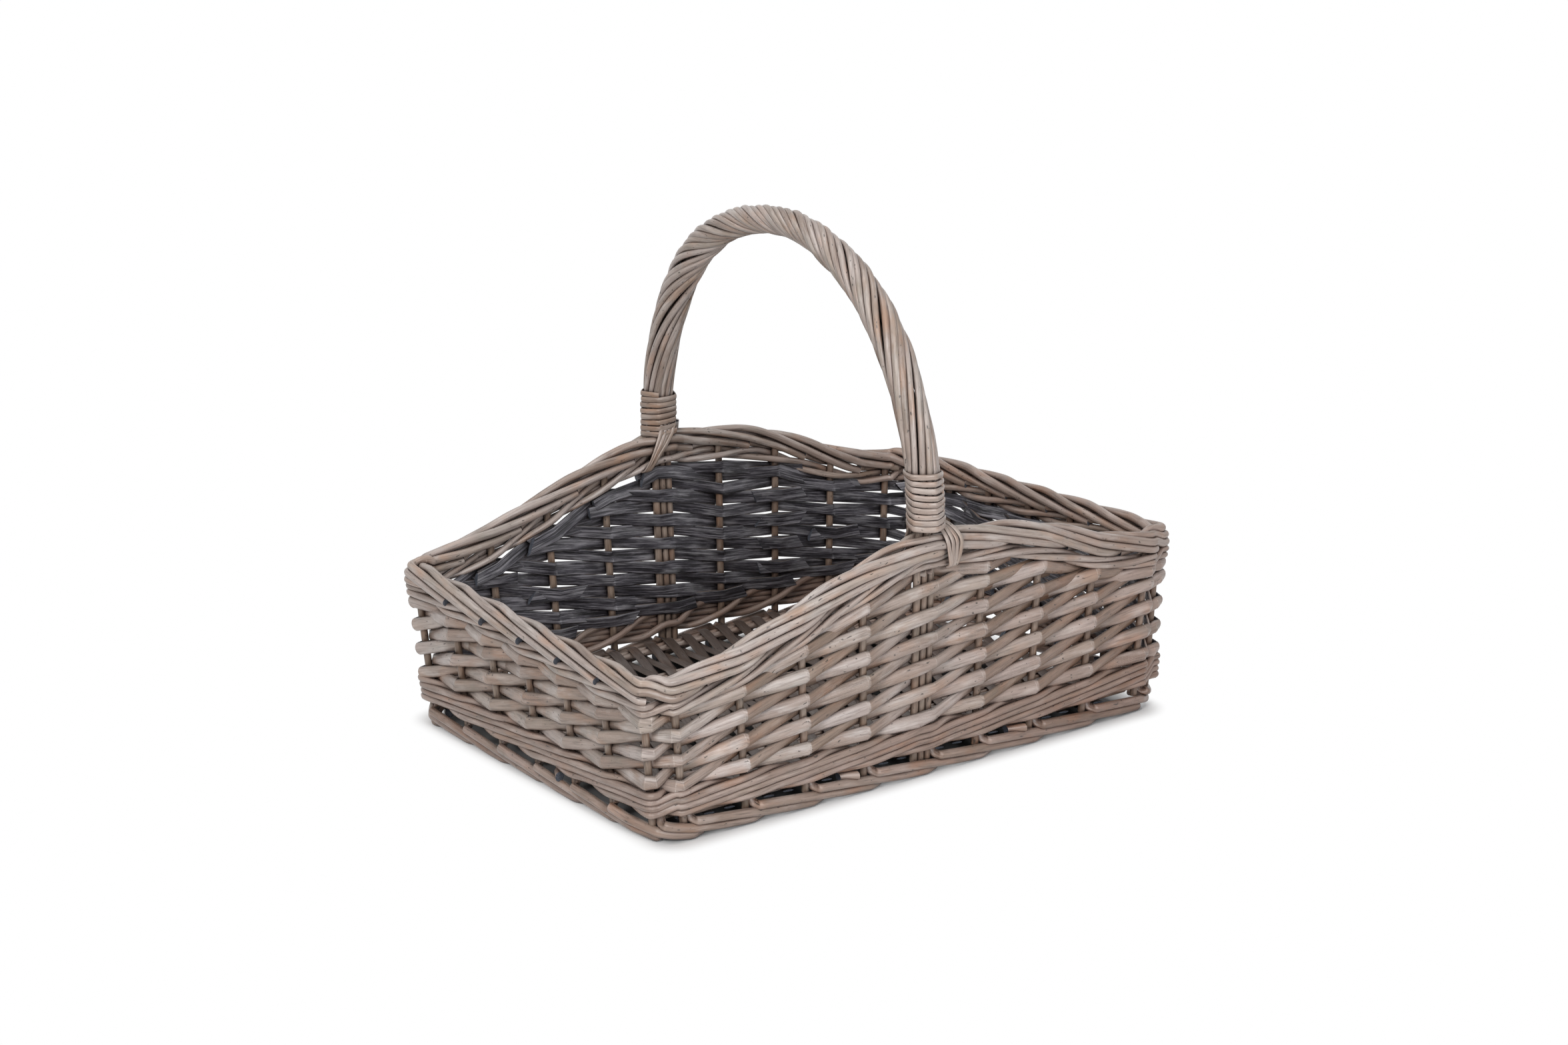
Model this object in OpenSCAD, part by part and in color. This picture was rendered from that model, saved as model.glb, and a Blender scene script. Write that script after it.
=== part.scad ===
// Oblong garden basket of willow with a roped bow handle, in millimetres.
// Every rod of the wall is laid out by three wall coordinates: its stake number
// round the basket, its depth out of the stake line, and its height.
// Stake 0 is the front stake of the left front corner, and the numbers run
// to the right as seen from outside: front, right end, back, left end.

/* [Basket] */
// Length over the rim
rim_l = 450; // [400:5:520]
// Width over the rim at the handle
rim_w = 322; // [280:2:380]
// Outward bow of each long side
side_bow = 4.5; // [0:0.5:8]
// Length of a corner's cut along the long side
corner_l = 18; // [14:1:26]
// Length of a corner's cut along the short end
corner_w = 9; // [8:1:20]
// Outward lean of each short end from ground to corner rim
flare_end = 4.5; // [0:0.5:12]
// Outward lean of each long side from ground to corner rim
flare_side = 3; // [0:0.5:10]
// Height of the rim at the left end
left_h = 116; // [104:1:150]
// Height of the rim at the right end, a little more in this hand-made basket
right_h = 129; // [104:1:150]
// Height of the rim at the handle
crown_h = 175; // [155:1:200]
// Height of the underside of the lower wale
foot_h = 19; // [17:0.5:24]

/* [Counts] */
// Gaps between stakes on each long side
side_gaps = 8; // [6:2:10]
// Gaps between stakes on each short end
end_gaps = 6; // [4:1:7]
// Rods of the wale under the wall
lower_rods = 5; // [3:1:6]
// Rods of the wale over the wall
upper_rods = 3; // [3:1:4]
// Rods laid round the handle
rope_rods = 12; // [8:1:14]
// Turns of the skein on each foot of the handle
binding_turns = 8; // [4:1:12]
// Skeins side by side in each tie
tie_skeins = 4; // [2:1:5]
// Rows of paired sticks in the base
stick_rows = 6; // [4:1:8]

/* [Willow] */
// Diameter of the stakes and of the rods of the bow
stake_d = 5.4; // [4.6:0.1:6]
// Width of the split weavers
weaver_w = 8; // [6:0.1:9]
// Thickness of the split weavers
weaver_t = 3.2; // [2:0.1:4]
// Free height between one row of weavers and the next
row_gap = 0.6; // [0.4:0.1:3]
// Diameter of the wale rods
wale_d = 4.3; // [3.4:0.1:5]
// Diameter of the border rods
border_d = 5.2; // [4.4:0.1:5.6]
// Diameter of the foot rods
foot_d = 5.6; // [4.6:0.1:6]
// Diameter of the base sticks
stick_d = 5; // [4:0.1:5.4]
// Width of the base slats
slat_w = 7.2; // [6:0.2:9]
// Thickness of the base slats
slat_t = 1.4; // [1:0.1:1.8]
// Gap between neighbouring base slats
slat_gap = 0.6; // [0.4:0.1:4]
// Slant of the base slats, in degrees
slat_slant = 13; // [0:1:20]

/* [Handle] */
// Height over the handle
handle_h = 371; // [340:1:420]
// Diameter of the rods laid round the handle
rope_d = 4.3; // [3.6:0.1:4.6]
// Turns that the rods take from foot to foot
rope_turns = 3; // [0:0.25:4]
// Width of the binding skein
skein_w = 3.5; // [2.5:0.1:5]
// Thickness of the binding skein
skein_t = 1.2; // [0.8:0.1:1.6]
// Free height between two turns of the binding
skein_gap = 0.8; // [0.6:0.1:2]

/* [Hidden] */
// Clearance at which one rod lies against another
seat = 0.15;
// Gap between the two halves of a rod that is butted at a corner
butt = 0.3;

rod_r = stake_d / 2;
n_side = side_gaps + 1;
n_end = end_gaps + 1;
stakes = 2 * (n_side + n_end);
bow_front = side_gaps / 2;
bow_back = n_side + n_end + side_gaps / 2;
// The sides of the basket as ranges of stake number, split at mid corner
FRONT = [-0.5, n_side - 0.5];
RIGHT = [n_side - 0.5, n_side + n_end - 0.5];
BACK = [n_side + n_end - 0.5, 2 * n_side + n_end - 0.5];
LEFT = [2 * n_side + n_end - 0.5, stakes - 0.5];

weave_out = rod_r + weaver_t / 2 + seat;
wale_out = rod_r + wale_d / 2 + seat;
wale_pitch = wale_d + 0.2;
upper_h = (upper_rods - 1) * wale_pitch;
row_pitch = weaver_w + row_gap;
in_lift = 0.6;
row_first = row_pitch + 1.4;
corner_dip = 3.5;

// Border rods sink from slot to slot: depth out of the stake line and drop
border_r = border_d / 2;
SLOTS = [[-border_r, border_r],
         [border_r + 0.4, border_r + 1.4],
         [border_d + 0.5, border_d + 3.6],
         [border_d + 1.1, 2 * border_d + 3.7]];
border_out = SLOTS[3].x + border_r;
border_h = SLOTS[3].y + border_r + seat;
bow_spread = 3.2;

line_l = rim_l - 2 * border_out;
line_w = rim_w - 2 * border_out - 2 * side_bow;
group_w = stake_d + 0.2;

foot_flat = foot_d / 2 * cos(36);
base_z = foot_h - stick_d / 2 - slat_t - 0.3;
bow_bottom = foot_d * 2;
wall_bottom = foot_h + (lower_rods - 1) * wale_pitch;

rope_in = 1.155 * stake_d + seat;
rope_r = rope_in + rope_d / 2;
rope_out = rope_in + rope_d;
binding_z = crown_h + 2;
binding_h = binding_turns * (skein_w + skein_gap);
turn_rings = 12;
rope_z = binding_z + 5;

function unit(v) = v / norm(v);
function lerp(a, b, f) = a + (b - a) * f;
function flat(list) = [for (part = list) for (item = part) item];
function wrap(i) = (i % stakes + stakes) % stakes;

// Plan of the stake line
end_h = (left_h + right_h) / 2;
function half_l(z) = line_l / 2 - flare_end * (1 - z / end_h);
function half_w(z) = line_w / 2 - flare_side * (1 - z / end_h);
function long_xy(f, side, z) = let (u = 2 * f - 1)
    [-side * u * (half_l(z) - corner_l), side * (half_w(z) + side_bow * (1 - u * u))];
function end_xy(f, side, z) = [side * half_l(z), side * (2 * f - 1) * (half_w(z) - corner_w)];
function stake_xy(i, z) = let (k = wrap(i))
    k < n_side ? long_xy(k / side_gaps, -1, z) :
    k < n_side + n_end ? end_xy((k - n_side) / end_gaps, 1, z) :
    k < 2 * n_side + n_end ? long_xy((k - n_side - n_end) / side_gaps, 1, z) :
    end_xy((k - 2 * n_side - n_end) / end_gaps, -1, z);
function line_xy(t, z) = lerp(stake_xy(floor(t), z), stake_xy(floor(t) + 1, z), t - floor(t));
function gap_out(i, z) = let (e = unit(stake_xy(i + 1, z) - stake_xy(i, z))) [e.y, -e.x];
function out(t, z) = let (i = floor(t), b = gap_out(i, z), m = unit(gap_out(i - 1, z) + b))
    t - i < 0.001 ? m / (m * b) : b;
function gap_l(t) = norm(stake_xy(floor(t) + 1, 0) - stake_xy(floor(t), 0));

// Height of the rim, and how much its slope stretches what is stacked under it
function hump(u) = 0.3 * (1 + cos(180 * u)) + 0.4 * (1 - u);
function rim(t) = let (x = line_xy(t, 0).x)
    lerp(x < 0 ? left_h : right_h, crown_h, hump(min(1, abs(x) / (half_l(0) - corner_l))));
function steep(t) = norm([1, (rim(t + 0.5) - rim(t - 0.5))
    / norm(line_xy(t + 0.5, 0) - line_xy(t - 0.5, 0))]);
function wall_top(t) = rim(t) - (border_h + upper_h) * steep(t);

// Wall coordinates to space
function place(q) = let (p = line_xy(q[0], q[2]) + q[1] * out(q[0], q[2])) [p.x, p.y, q[2]];
function facing(q) = let (o = out(q[0], q[2])) [o.x, o.y, 0];
function is_bow(i) = wrap(i) == bow_front || wrap(i) == bow_back;
// The first stake of a side, with the cut of the corner before it
function is_turn(i) = let (k = wrap(i)) k == 0 || k == n_side || k == n_side + n_end
    || k == 2 * n_side + n_end;
// A rod passes a stake at one point, lies flat across the three rods of the bow,
// and keeps its depth for a short way into the cut of a corner
corner_keep = 0.2;
function pass(i, q) = let (g = (group_w + 1) / gap_l(i),
    before = is_bow(i) ? g : is_turn(i) ? corner_keep : 0,
    after = is_bow(i) ? g : is_turn(i + 1) ? corner_keep : 0)
    concat(before > 0 ? [[i - before, q.x, q.y]] : [], is_bow(i) ? [] : [[i, q.x, q.y]],
        after > 0 ? [[i + after, q.x, q.y]] : []);

// The stretch of a rod between two stake numbers, for a rod that may lie a round later
function cut_at(a, b, t) = lerp(a, b, (t - a[0]) / (b[0] - a[0]));
function within(rod, lo, hi) = flat([for (i = [0 : len(rod) - 1]) let (q = rod[i], p = rod[max(0, i - 1)])
    concat(i > 0 && p[0] < lo && q[0] > lo ? [cut_at(p, q, lo)] : [],
           i > 0 && p[0] < hi && p[0] > lo && q[0] > hi ? [cut_at(p, q, hi)] : [],
           q[0] >= lo && q[0] <= hi ? [q] : [])]);
function rods_on(rods, side) = [for (rod = rods) for (lap = [-stakes, 0, stakes])
    let (moved = [for (q = rod) [q[0] + lap, q[1], q[2]]],
         g = butt / 2 / gap_l(side[0]), part = within(moved, side[0] + g, side[1] - g))
    if (len(part) > 1 && part[len(part) - 1][0] - part[0][0] > 0.1) part];

// One closed shell for each path, all in one polyhedron.
// refs hold the direction that faces out at each point of the path.
function round_section(d, sides) = [for (k = [0 : sides - 1]) let (a = 90 + 360 * (k + 0.5) / sides)
    d / 2 * [cos(a), sin(a)]];
function way(p, i) = unit(i == 0 ? p[1] - p[0] : p[i] - p[i - 1]);
function bend(p, i) = i == 0 || i == len(p) - 1 ? way(p, i) : unit(way(p, i) + way(p, i + 1));
function ring(p, ref, i, section) = let (d = way(p, i), t = bend(p, i),
    u = unit(ref - (ref * d) * d), v = cross(d, u))
    [for (s = section) let (o = s.x * u + s.y * v) p[i] + o - d * (o * t) / (d * t)];
function shell(p, refs, section) = flat([for (i = [0 : len(p) - 1]) ring(p, refs[i], i, section)]);
function shell_faces(rings, n, at) = concat(
    [for (k = [1 : n - 2]) [at, at + k + 1, at + k]],
    [for (i = [0 : rings - 2]) for (k = [0 : n - 1]) let (a = at + i * n + k, b = at + i * n + (k + 1) % n)
        each [[a, b, a + n], [b, b + n, a + n]]],
    let (e = at + (rings - 1) * n) [for (k = [1 : n - 2]) [e, e + k, e + k + 1]]);
function starts(counts, i = 0, sum = 0) = i == len(counts) ? [] :
    concat([sum], starts(counts, i + 1, sum + counts[i]));
module shells(paths, refs, section) {
    n = len(section);
    at = starts([for (p = paths) len(p) * n]);
    polyhedron(
        flat([for (i = [0 : len(paths) - 1]) shell(paths[i], refs[i], section)]),
        flat([for (i = [0 : len(paths) - 1]) shell_faces(len(paths[i]), n, at[i])]), 10);
}
module wall_rods(rods, section)
    shells([for (rod = rods) [for (q = rod) place(q)]],
           [for (rod = rods) [for (q = rod) facing(q)]], section);

// Base
function row_y(j) = lerp(-1, 1, j / (stick_rows - 1)) * (half_w(0) - rod_r - stick_d - 1);
// A stick ends short of the stakes, and an outer one short of the corner's cut
function stick_end(y) = half_l(0) - max(rod_r + 1.2,
    (abs(y) + stick_d / 2 - half_w(0) + corner_w) * corner_l / corner_w + rod_r + 2);
module base_sticks() color("#b8a58c")
    for (j = [0 : stick_rows - 1], k = [-1, 1]) {
        y = row_y(j) + k * (stick_d + 0.2) / 2;
        translate([0, y, base_z]) rotate([0, 90, 0])
            cylinder(h = 2 * stick_end(y), d = stick_d, center = true, $fn = 24);
    }

// A slat runs over one row of sticks and under the next
slat_reach = half_w(0) - rod_r - 0.5;
function slat_span(x) = let (lim = half_l(0) - corner_l - slat_w / 2, k = tan(slat_slant) + 0.0001)
    [max(-slat_reach, (-lim - x) / k), min(slat_reach, (lim - x) / k)];
slat_up = stick_d / 2 + slat_t / 2 + seat;
function slat_side(j, first) = (j + first) % 2 == 0 ? slat_up : -slat_up;
function slat_z(y, first) = let (step = row_y(1) - row_y(0),
    j = max(0, min(stick_rows - 1, round((y - row_y(0)) / step))), d = y - row_y(j),
    next = max(0, min(stick_rows - 1, j + sign(d))),
    f = max(0, (abs(d) - stick_d) / (step - 2 * stick_d)))
    lerp(slat_side(j, first), slat_side(next, first), min(1, f));
function slat_line(x, first) = let (s = slat_span(x))
    concat([[s[0], slat_z(s[0], first)]],
        [for (j = [0 : stick_rows - 1], e = [-1, 1]) let (y = row_y(j) + e * stick_d)
            if (y > s[0] + 0.5 && y < s[1] - 0.5) [y, slat_side(j, first)]],
        [[s[1], slat_z(s[1], first)]]);
module slat(x, first) {
    line = slat_line(x, first);
    n = len(line);
    stretch = 1 / cos(slat_slant);
    translate([x, 0, base_z]) rotate([90, 0, 90 - slat_slant]) translate([0, 0, -slat_w / 2])
        linear_extrude(slat_w) polygon(concat(
            [for (q = line) [q.x * stretch, q.y + slat_t / 2]],
            [for (i = [n - 1 : -1 : 0]) [line[i].x * stretch, line[i].y - slat_t / 2]]));
}
module base_slats() color("#6f675e") {
    step = (slat_w + slat_gap) / cos(slat_slant);
    count = floor(half_l(0) / step);
    for (n = [-count : count])
        if (slat_span(n * step)[1] - slat_span(n * step)[0] > 4 * stick_d)
            slat(n * step, (n + count) % 2);
}

// Stakes: plain rods, let in under the border
module side_stakes(side) color("#a3917b")
    for (i = [ceil(side[0]) : floor(side[1])]) if (!is_bow(i)) {
        p = place([i, 0, bow_bottom]);
        q = place([i, 0, stake_top(i)]);
        v = q - p;
        translate(p) rotate([0, acos(v.z / norm(v)), atan2(v.y, v.x)])
            cylinder(h = norm(v), d = stake_d, $fn = 24);
    }

// Wale of n rods: each comes out under the others, rises in front of n - 1 stakes
// and goes in over the top behind one. Depth and height by steps of half a gap.
cross = 0.45;
function wale_at(n, step) = let (s = ((step % (2 * n)) + 2 * n) % (2 * n))
    s == 0 ? [-wale_out, (n - 1) / 2 * wale_pitch] :
    s == 1 ? [0, cross * wale_pitch] :
    s == 2 * n - 1 ? [0, (n - 1 - cross) * wale_pitch] : [wale_out, (s - 1) / 2 * wale_pitch];
function wale_rod(m, n, low, rise) = let (seam = -n_end - 0.5)
    flat([for (k = [0 : 2 * stakes]) let (t = seam + k / 2, q = wale_at(n, 2 * (t + m)),
                                         z = (low < 0 ? rim(t) + low * steep(t) : low) + q.y * rise(t))
        floor(t) == t ? pass(t, [q.x, z]) : [[t, q.x, z]]]);
module lower_wale(side) color("#8f7c68")
    wall_rods(rods_on([for (m = [0 : lower_rods - 1]) wale_rod(m, lower_rods, foot_h, function (t) 1)],
        side), round_section(wale_d, 4));
module upper_wale(side) color("#958370")
    wall_rods(rods_on([for (m = [0 : upper_rods - 1])
        wale_rod(m, upper_rods, -border_h - upper_h, function (t) steep(t))], side), round_section(wale_d, 4));

// Wall: a split weaver starts inside every stake, goes in front of one stake
// and behind the next, and climbs one row at each
function row_z(i, row) = max(wall_bottom + weaver_w / 2 - 1.8,
    wall_bottom + row_first - (is_turn(i) ? corner_dip : 0)
    + row * row_pitch - weaver_w / 2 + (row % 2 == 0 ? 0 : in_lift));
function fits(first, row) = row >= -1
    && row_z(first + row, row) + weaver_w / 2 + 0.5 <= wall_top(first + row);
function last_row(first, row) = fits(first, row + 1) ? last_row(first, row + 1) : row;
function room(first, row) = wall_top(first + row) - 0.5 - weaver_w / 2 - row_z(first + row, row);
function depth(row) = row % 2 == 0 ? weave_out : -weave_out;
// Where a weaver runs in under the wale on its way to a row that no longer fits
function tuck(first, row, next) = let (a = room(first, row), b = room(first, next),
    lo = is_bow(first + row) || is_turn(first + max(row, next)) ? corner_keep + 0.05 : 0.02,
    hi = is_bow(first + next) || is_turn(first + max(row, next)) ? 0.75 : 0.85,
    f = max(lo, min(hi, a / (a - b) + 0.02)), t = first + lerp(row, next, f))
    [t, lerp(depth(row), depth(next), f), min(lerp(row_z(first + row, row), row_z(first + next, next), f),
     wall_top(t) - 0.5 - weaver_w / 2)];
function weaver(first, a, b) = concat(
    [a > -1 ? tuck(first, a, a - 1) : [first - 1.24 - (is_bow(first - 1) ? 0.12 : 0), depth(-1),
        row_z(first - 1, -1)]],
    flat([for (row = [a : b]) pass(first + row, [depth(row), row_z(first + row, row)])]),
    [tuck(first, b, b + 1)]);
most_rows = ceil((crown_h - wall_bottom) / row_pitch);
WEAVERS = [for (first = [0 : stakes - 1], row = [-1 : most_rows])
    if (fits(first, row) && !fits(first, row - 1))
        weaver(first, row, last_row(first, row))];
// Half of a split rod: flat inside, bark outside
SPLIT = [[-weaver_t / 2, -weaver_w / 2], [weaver_t * 0.35, -weaver_w * 0.33],
         [weaver_t * 0.35, weaver_w * 0.33], [-weaver_t / 2, weaver_w / 2]];
module weave(side) color("#a8957f") wall_rods(rods_on(WEAVERS, side), SPLIT);

// Rolled border: each rod stands up beside its stake, turns down at the rim
// and sinks a place behind each new rod until it is tucked in
function slot(i, at) = let (s = SLOTS[at], t = i + at)
    [s.x + (is_bow(t) ? (at == 0 ? -bow_spread : bow_spread) : 0), rim(t) - s.y * steep(t)];
function stake_top(i) = rim(i) - (border_h - 3.5) * steep(i);
function border_rod(i) = let (b = i + (is_bow(i) ? 0.3 : 0))
    concat([[b, 0, stake_top(b) + seat], [b + 0.02, SLOTS[0].x, rim(b) - border_r * steep(b)],
            [i + 0.5, (SLOTS[0].x + SLOTS[1].x) / 2 - 0.6, rim(i + 0.5) - (border_r + 0.4) * steep(i + 0.5)]],
        flat([for (at = [1 : 3]) pass(i + at, slot(i, at))]),
        [[i + 3.45, SLOTS[3].x, rim(i + 3.45) - SLOTS[3].y * steep(i + 3.45)]]);
module border(side) color("#9c8a75")
    wall_rods(rods_on([for (i = [0 : stakes - 1]) border_rod(i)], side), round_section(border_d, 5));

// Foot: each rod comes down beside its stake, turns square, runs on top of the
// last one past the next stake, then under the next rod, and ends inside
function foot_rod(i) = let (g = (stake_d + 0.4) / gap_l(i) + (is_bow(i) ? group_w / gap_l(i) : 0),
    low = foot_flat, high = 2 * foot_flat + foot_d / 2 + 0.4, run = foot_d * 0.8)
    [[i + g, 0, foot_h - 0.2], [i + g, 0, high + 0.4], [i + g + 0.08, run - 0.6, high],
     [i + 0.62, run + 1, high - 0.3], [i + 1.12, run + 1, low],
     [i + 1.6, run - 0.4, low], [i + 1.95, run - foot_d - 0.6, low]];
module foot(side) color("#86745f")
    wall_rods(rods_on([for (i = [0 : stakes - 1]) foot_rod(i)], side), round_section(foot_d, 5));

// Centre line of the handle: two straight legs and a half circle, by length
leg_y = half_w(crown_h) + side_bow;
arch_r = leg_y + 2;
arch_z = handle_h - arch_r - rope_out;
function arch_l(z) = 2 * (arch_z - z) + 180 * arch_r * PI / 180;
// s runs from the front foot at height z to the back foot
function arch(s, z, grow) = let (leg = arch_z - z, a = (s - leg) / arch_r * 180 / PI)
    a < 0 ? [0, -(arch_r + grow), z + s] :
    a > 180 ? [0, arch_r + grow, arch_z - (a - 180) * PI / 180 * arch_r] :
    [0, -(arch_r + grow) * cos(a), arch_z + (arch_r + grow) * sin(a)];
function arch_out(s, z) = let (a = min(180, max(0, (s - arch_z + z) / arch_r * 180 / PI)))
    [0, -cos(a), sin(a)];

// Bow: three rods from the bottom of one wall, over the arch, to the other
bow_steps = 16;
function bow_rod(j) = let (x = j * stake_d / 2, grow = j == 0 ? stake_d * 0.578 : -stake_d * 0.289,
    foot_y = half_w(bow_bottom) + side_bow, l = arch_l(rope_z))
    concat([[j * group_w, -foot_y, bow_bottom], [j * group_w, -leg_y, crown_h - border_h]],
        [for (k = [0 : bow_steps]) [x, 0, 0] + arch(l * k / bow_steps, rope_z, grow)],
        [[j * group_w, leg_y, crown_h - border_h], [j * group_w, foot_y, bow_bottom]]);
module handle_bow() color("#8b7a68") {
    rods = [for (j = [-1 : 1]) bow_rod(j)];
    shells(rods, [for (r = rods) [for (p = r) [1, 0, 0]]], round_section(stake_d, 5));
}

// Rods roped round the bow: the twist is slack at the feet and tight at the top
rope_steps = 8 * ceil(rope_turns) + 2;
function rope_rod(j) = let (l = arch_l(rope_z)) [for (k = [0 : rope_steps]) let (
    u = k / rope_steps, s = lerp(u, u + sin(360 * u) / 12, 0.5) * l,
    a = 360 * (j / rope_rods + rope_turns * (s / l - sin(360 * s / l) / (2 * PI))),
    o = arch_out(s, rope_z))
    arch(s, rope_z, 0) + rope_r * (cos(a) * o + sin(a) * [1, 0, 0])];
module handle_rope() color("#a4937f") {
    l = arch_l(rope_z);
    rods = [for (j = [0 : rope_rods - 1]) rope_rod(j)];
    shells(rods, [for (r = rods) [for (k = [0 : rope_steps])
        let (s = lerp(k / rope_steps, k / rope_steps + sin(360 * k / rope_steps) / 12, 0.5) * l)
        r[k] - arch(s, rope_z, 0)]], round_section(rope_d, 4));
}

// Binding: one flat skein wound up each foot of the handle
binding_r = (rope_out + seat) / cos(180 / turn_rings) + skein_t / 2;
SKEIN = [for (s = [[-0.3, -0.5], [0.3, -0.5], [0.5, 0], [0.3, 0.5], [-0.3, 0.5], [-0.5, 0]])
    [s.x * skein_t, s.y * skein_w]];
function wound_s(k) = skein_w / 2 + k / turn_rings * (skein_w + skein_gap);
function wound_ref(k, side) = let (a = 360 * k / turn_rings + 20, o = arch_out(wound_s(k), binding_z))
    [cos(a), -side * sin(a) * o.y, sin(a) * o.z];
function wound(side) = [for (k = [0 : turn_rings * binding_turns])
    let (c = arch(wound_s(k), binding_z, 0), r = wound_ref(k, side))
    [c.x, -side * c.y, c.z] + binding_r * r];
module binding(side) color("#b3a38c") {
    p = wound(side);
    shells([p], [[for (k = [0 : len(p) - 1]) wound_ref(k, side)]], SKEIN);
}
// Least gap between one turn and the next, over all corners of the rings
function least_gap(p, n) = min([for (i = [0 : len(p) - n * turn_rings - 1])
    min([for (j = [0 : n - 1]) norm(p[i] - p[floor(i / n) * n + n * turn_rings + j])])]);
wound_points = let (p = wound(-1)) shell(p, [for (k = [0 : len(p) - 1]) wound_ref(k, -1)], SKEIN);
echo(binding_least_gap = least_gap(wound_points, len(SKEIN)));

// Tie: skeins that hold the border to the foot of the handle. They fan out over
// the border and come together under it.
tie_w = skein_w * 0.75;
tie_fan = 1.6;
tie_turn = 5;
tie_out = SLOTS[3].x + border_r + bow_spread * 0.7 + skein_t / 2;
tie_in = border_d + bow_spread * 0.8 + skein_t / 2;
function tie_top(x) = rim(bow_front + x / gap_l(bow_front)) + skein_t / 2;
function tie_path(k, side) = let (low = crown_h - border_h - upper_h + 2,
    near = binding_r + 0.5 + (k + 0.5) * (tie_w + 0.3), far = near + 1 + k * tie_fan)
    [for (q = [[-tie_in + 2, near, crown_h - border_h - 3], [-tie_in, near, crown_h - border_h],
               [-tie_in, near, tie_top(near) - tie_turn], [-tie_in + tie_turn, near, tie_top(near)],
               [tie_out - tie_turn, far, tie_top(far)], [tie_out, far, tie_top(far) - tie_turn],
               [tie_out, lerp(near, far, 0.5), low + 9], [tie_out - 0.5, near, low]])
        [-side * q[1], side * (leg_y + q[0]), q[2]]];
module tie(side) color("#b3a38c") {
    paths = [for (k = [0 : tie_skeins - 1]) tie_path(k, side)];
    shells(paths, [for (p = paths) [for (q = p) [0, side * (abs(q.y) - leg_y), q.z - crown_h + 9]]],
        [for (s = [[-1, -1], [1, -1], [1, 1], [-1, 1]]) [s.x * skein_t / 2, s.y * tie_w / 2]]);
}

base_sticks();
base_slats();
side_stakes(FRONT);  // side_stakes_front
side_stakes(RIGHT);  // side_stakes_right
side_stakes(BACK);  // side_stakes_back
side_stakes(LEFT);  // side_stakes_left
foot(FRONT);  // foot_front
foot(RIGHT);  // foot_right
foot(BACK);  // foot_back
foot(LEFT);  // foot_left
lower_wale(FRONT);  // lower_wale_front
lower_wale(RIGHT);  // lower_wale_right
lower_wale(BACK);  // lower_wale_back
lower_wale(LEFT);  // lower_wale_left
weave(FRONT);  // weave_front
weave(RIGHT);  // weave_right
weave(BACK);  // weave_back
weave(LEFT);  // weave_left
upper_wale(FRONT);  // upper_wale_front
upper_wale(RIGHT);  // upper_wale_right
upper_wale(BACK);  // upper_wale_back
upper_wale(LEFT);  // upper_wale_left
border(FRONT);  // border_front
border(RIGHT);  // border_right
border(BACK);  // border_back
border(LEFT);  // border_left
handle_bow();
handle_rope();
binding(-1);  // handle_binding_front
binding(1);  // handle_binding_back
tie(-1);  // handle_tie_front
tie(1);  // handle_tie_back
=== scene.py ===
# %% [markdown]
# # A willow garden basket
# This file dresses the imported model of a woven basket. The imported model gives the
# frame: every piece made here is in metres and stands where its solid stands.
# The basket is woven of rods, so nearly all of it is made in one way: guide lines
# are laid out by the rules of the weave, and a node tree lays a rod on each line.

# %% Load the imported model
import math
import random
from math import cos, pi, radians, sin

import bpy
from mathutils import Matrix, Vector


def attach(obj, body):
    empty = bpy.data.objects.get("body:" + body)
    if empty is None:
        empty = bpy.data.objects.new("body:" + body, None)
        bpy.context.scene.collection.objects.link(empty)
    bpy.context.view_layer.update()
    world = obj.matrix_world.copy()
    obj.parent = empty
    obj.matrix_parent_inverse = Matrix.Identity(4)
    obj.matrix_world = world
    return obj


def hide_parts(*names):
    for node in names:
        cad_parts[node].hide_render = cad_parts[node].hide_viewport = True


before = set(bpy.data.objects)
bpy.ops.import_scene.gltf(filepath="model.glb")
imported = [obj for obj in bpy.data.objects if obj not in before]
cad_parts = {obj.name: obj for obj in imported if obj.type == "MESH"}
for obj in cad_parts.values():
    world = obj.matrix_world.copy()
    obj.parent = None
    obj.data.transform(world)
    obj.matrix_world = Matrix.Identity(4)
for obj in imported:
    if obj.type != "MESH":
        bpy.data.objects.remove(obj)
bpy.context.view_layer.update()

print("packed nodes:", len(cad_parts))

# %% [markdown]
# ## Camera
# The photograph was taken with a long lens from the left front, a little above the
# rim. The camera's place and turn come from a fit to the corners of rim, wall and foot.

# %% Camera
CAMERA_PLACE, LENS, SENSOR = (-1.4104, -1.9315, 0.8984), 82.17, 36
YAW, PITCH, ROLL = radians(-36.10), radians(17.54), radians(-0.69)

forward = Vector((-sin(YAW) * cos(PITCH), cos(YAW) * cos(PITCH), -sin(PITCH)))
level = Vector((cos(YAW), sin(YAW), 0))
above = level.cross(forward)
right = cos(ROLL) * level + sin(ROLL) * above
up = cos(ROLL) * above - sin(ROLL) * level
camera = bpy.data.objects.new("camera", bpy.data.cameras.new("camera"))
camera.data.lens, camera.data.sensor_width = LENS, SENSOR
camera.data.clip_end = 20
turn = Matrix((right, up, -forward)).transposed().to_4x4()
camera.matrix_world = Matrix.Translation(CAMERA_PLACE) @ turn
bpy.context.scene.collection.objects.link(camera)
bpy.context.scene.camera = camera
print("camera lens:", camera.data.lens)

# %% [markdown]
# ## Light and floor
# The basket was lit by a big soft lamp in front on the left and a weaker one above, on
# a white sheet. A low strip in front gives the gleam on the weavers that turn towards it.
# The sheet is white to the camera, but keeps the shadow close round the basket, where a painted shadow
# darkens it too.

# %% Lamps
scene = bpy.context.scene
scene.view_settings.view_transform = "Standard"

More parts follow.
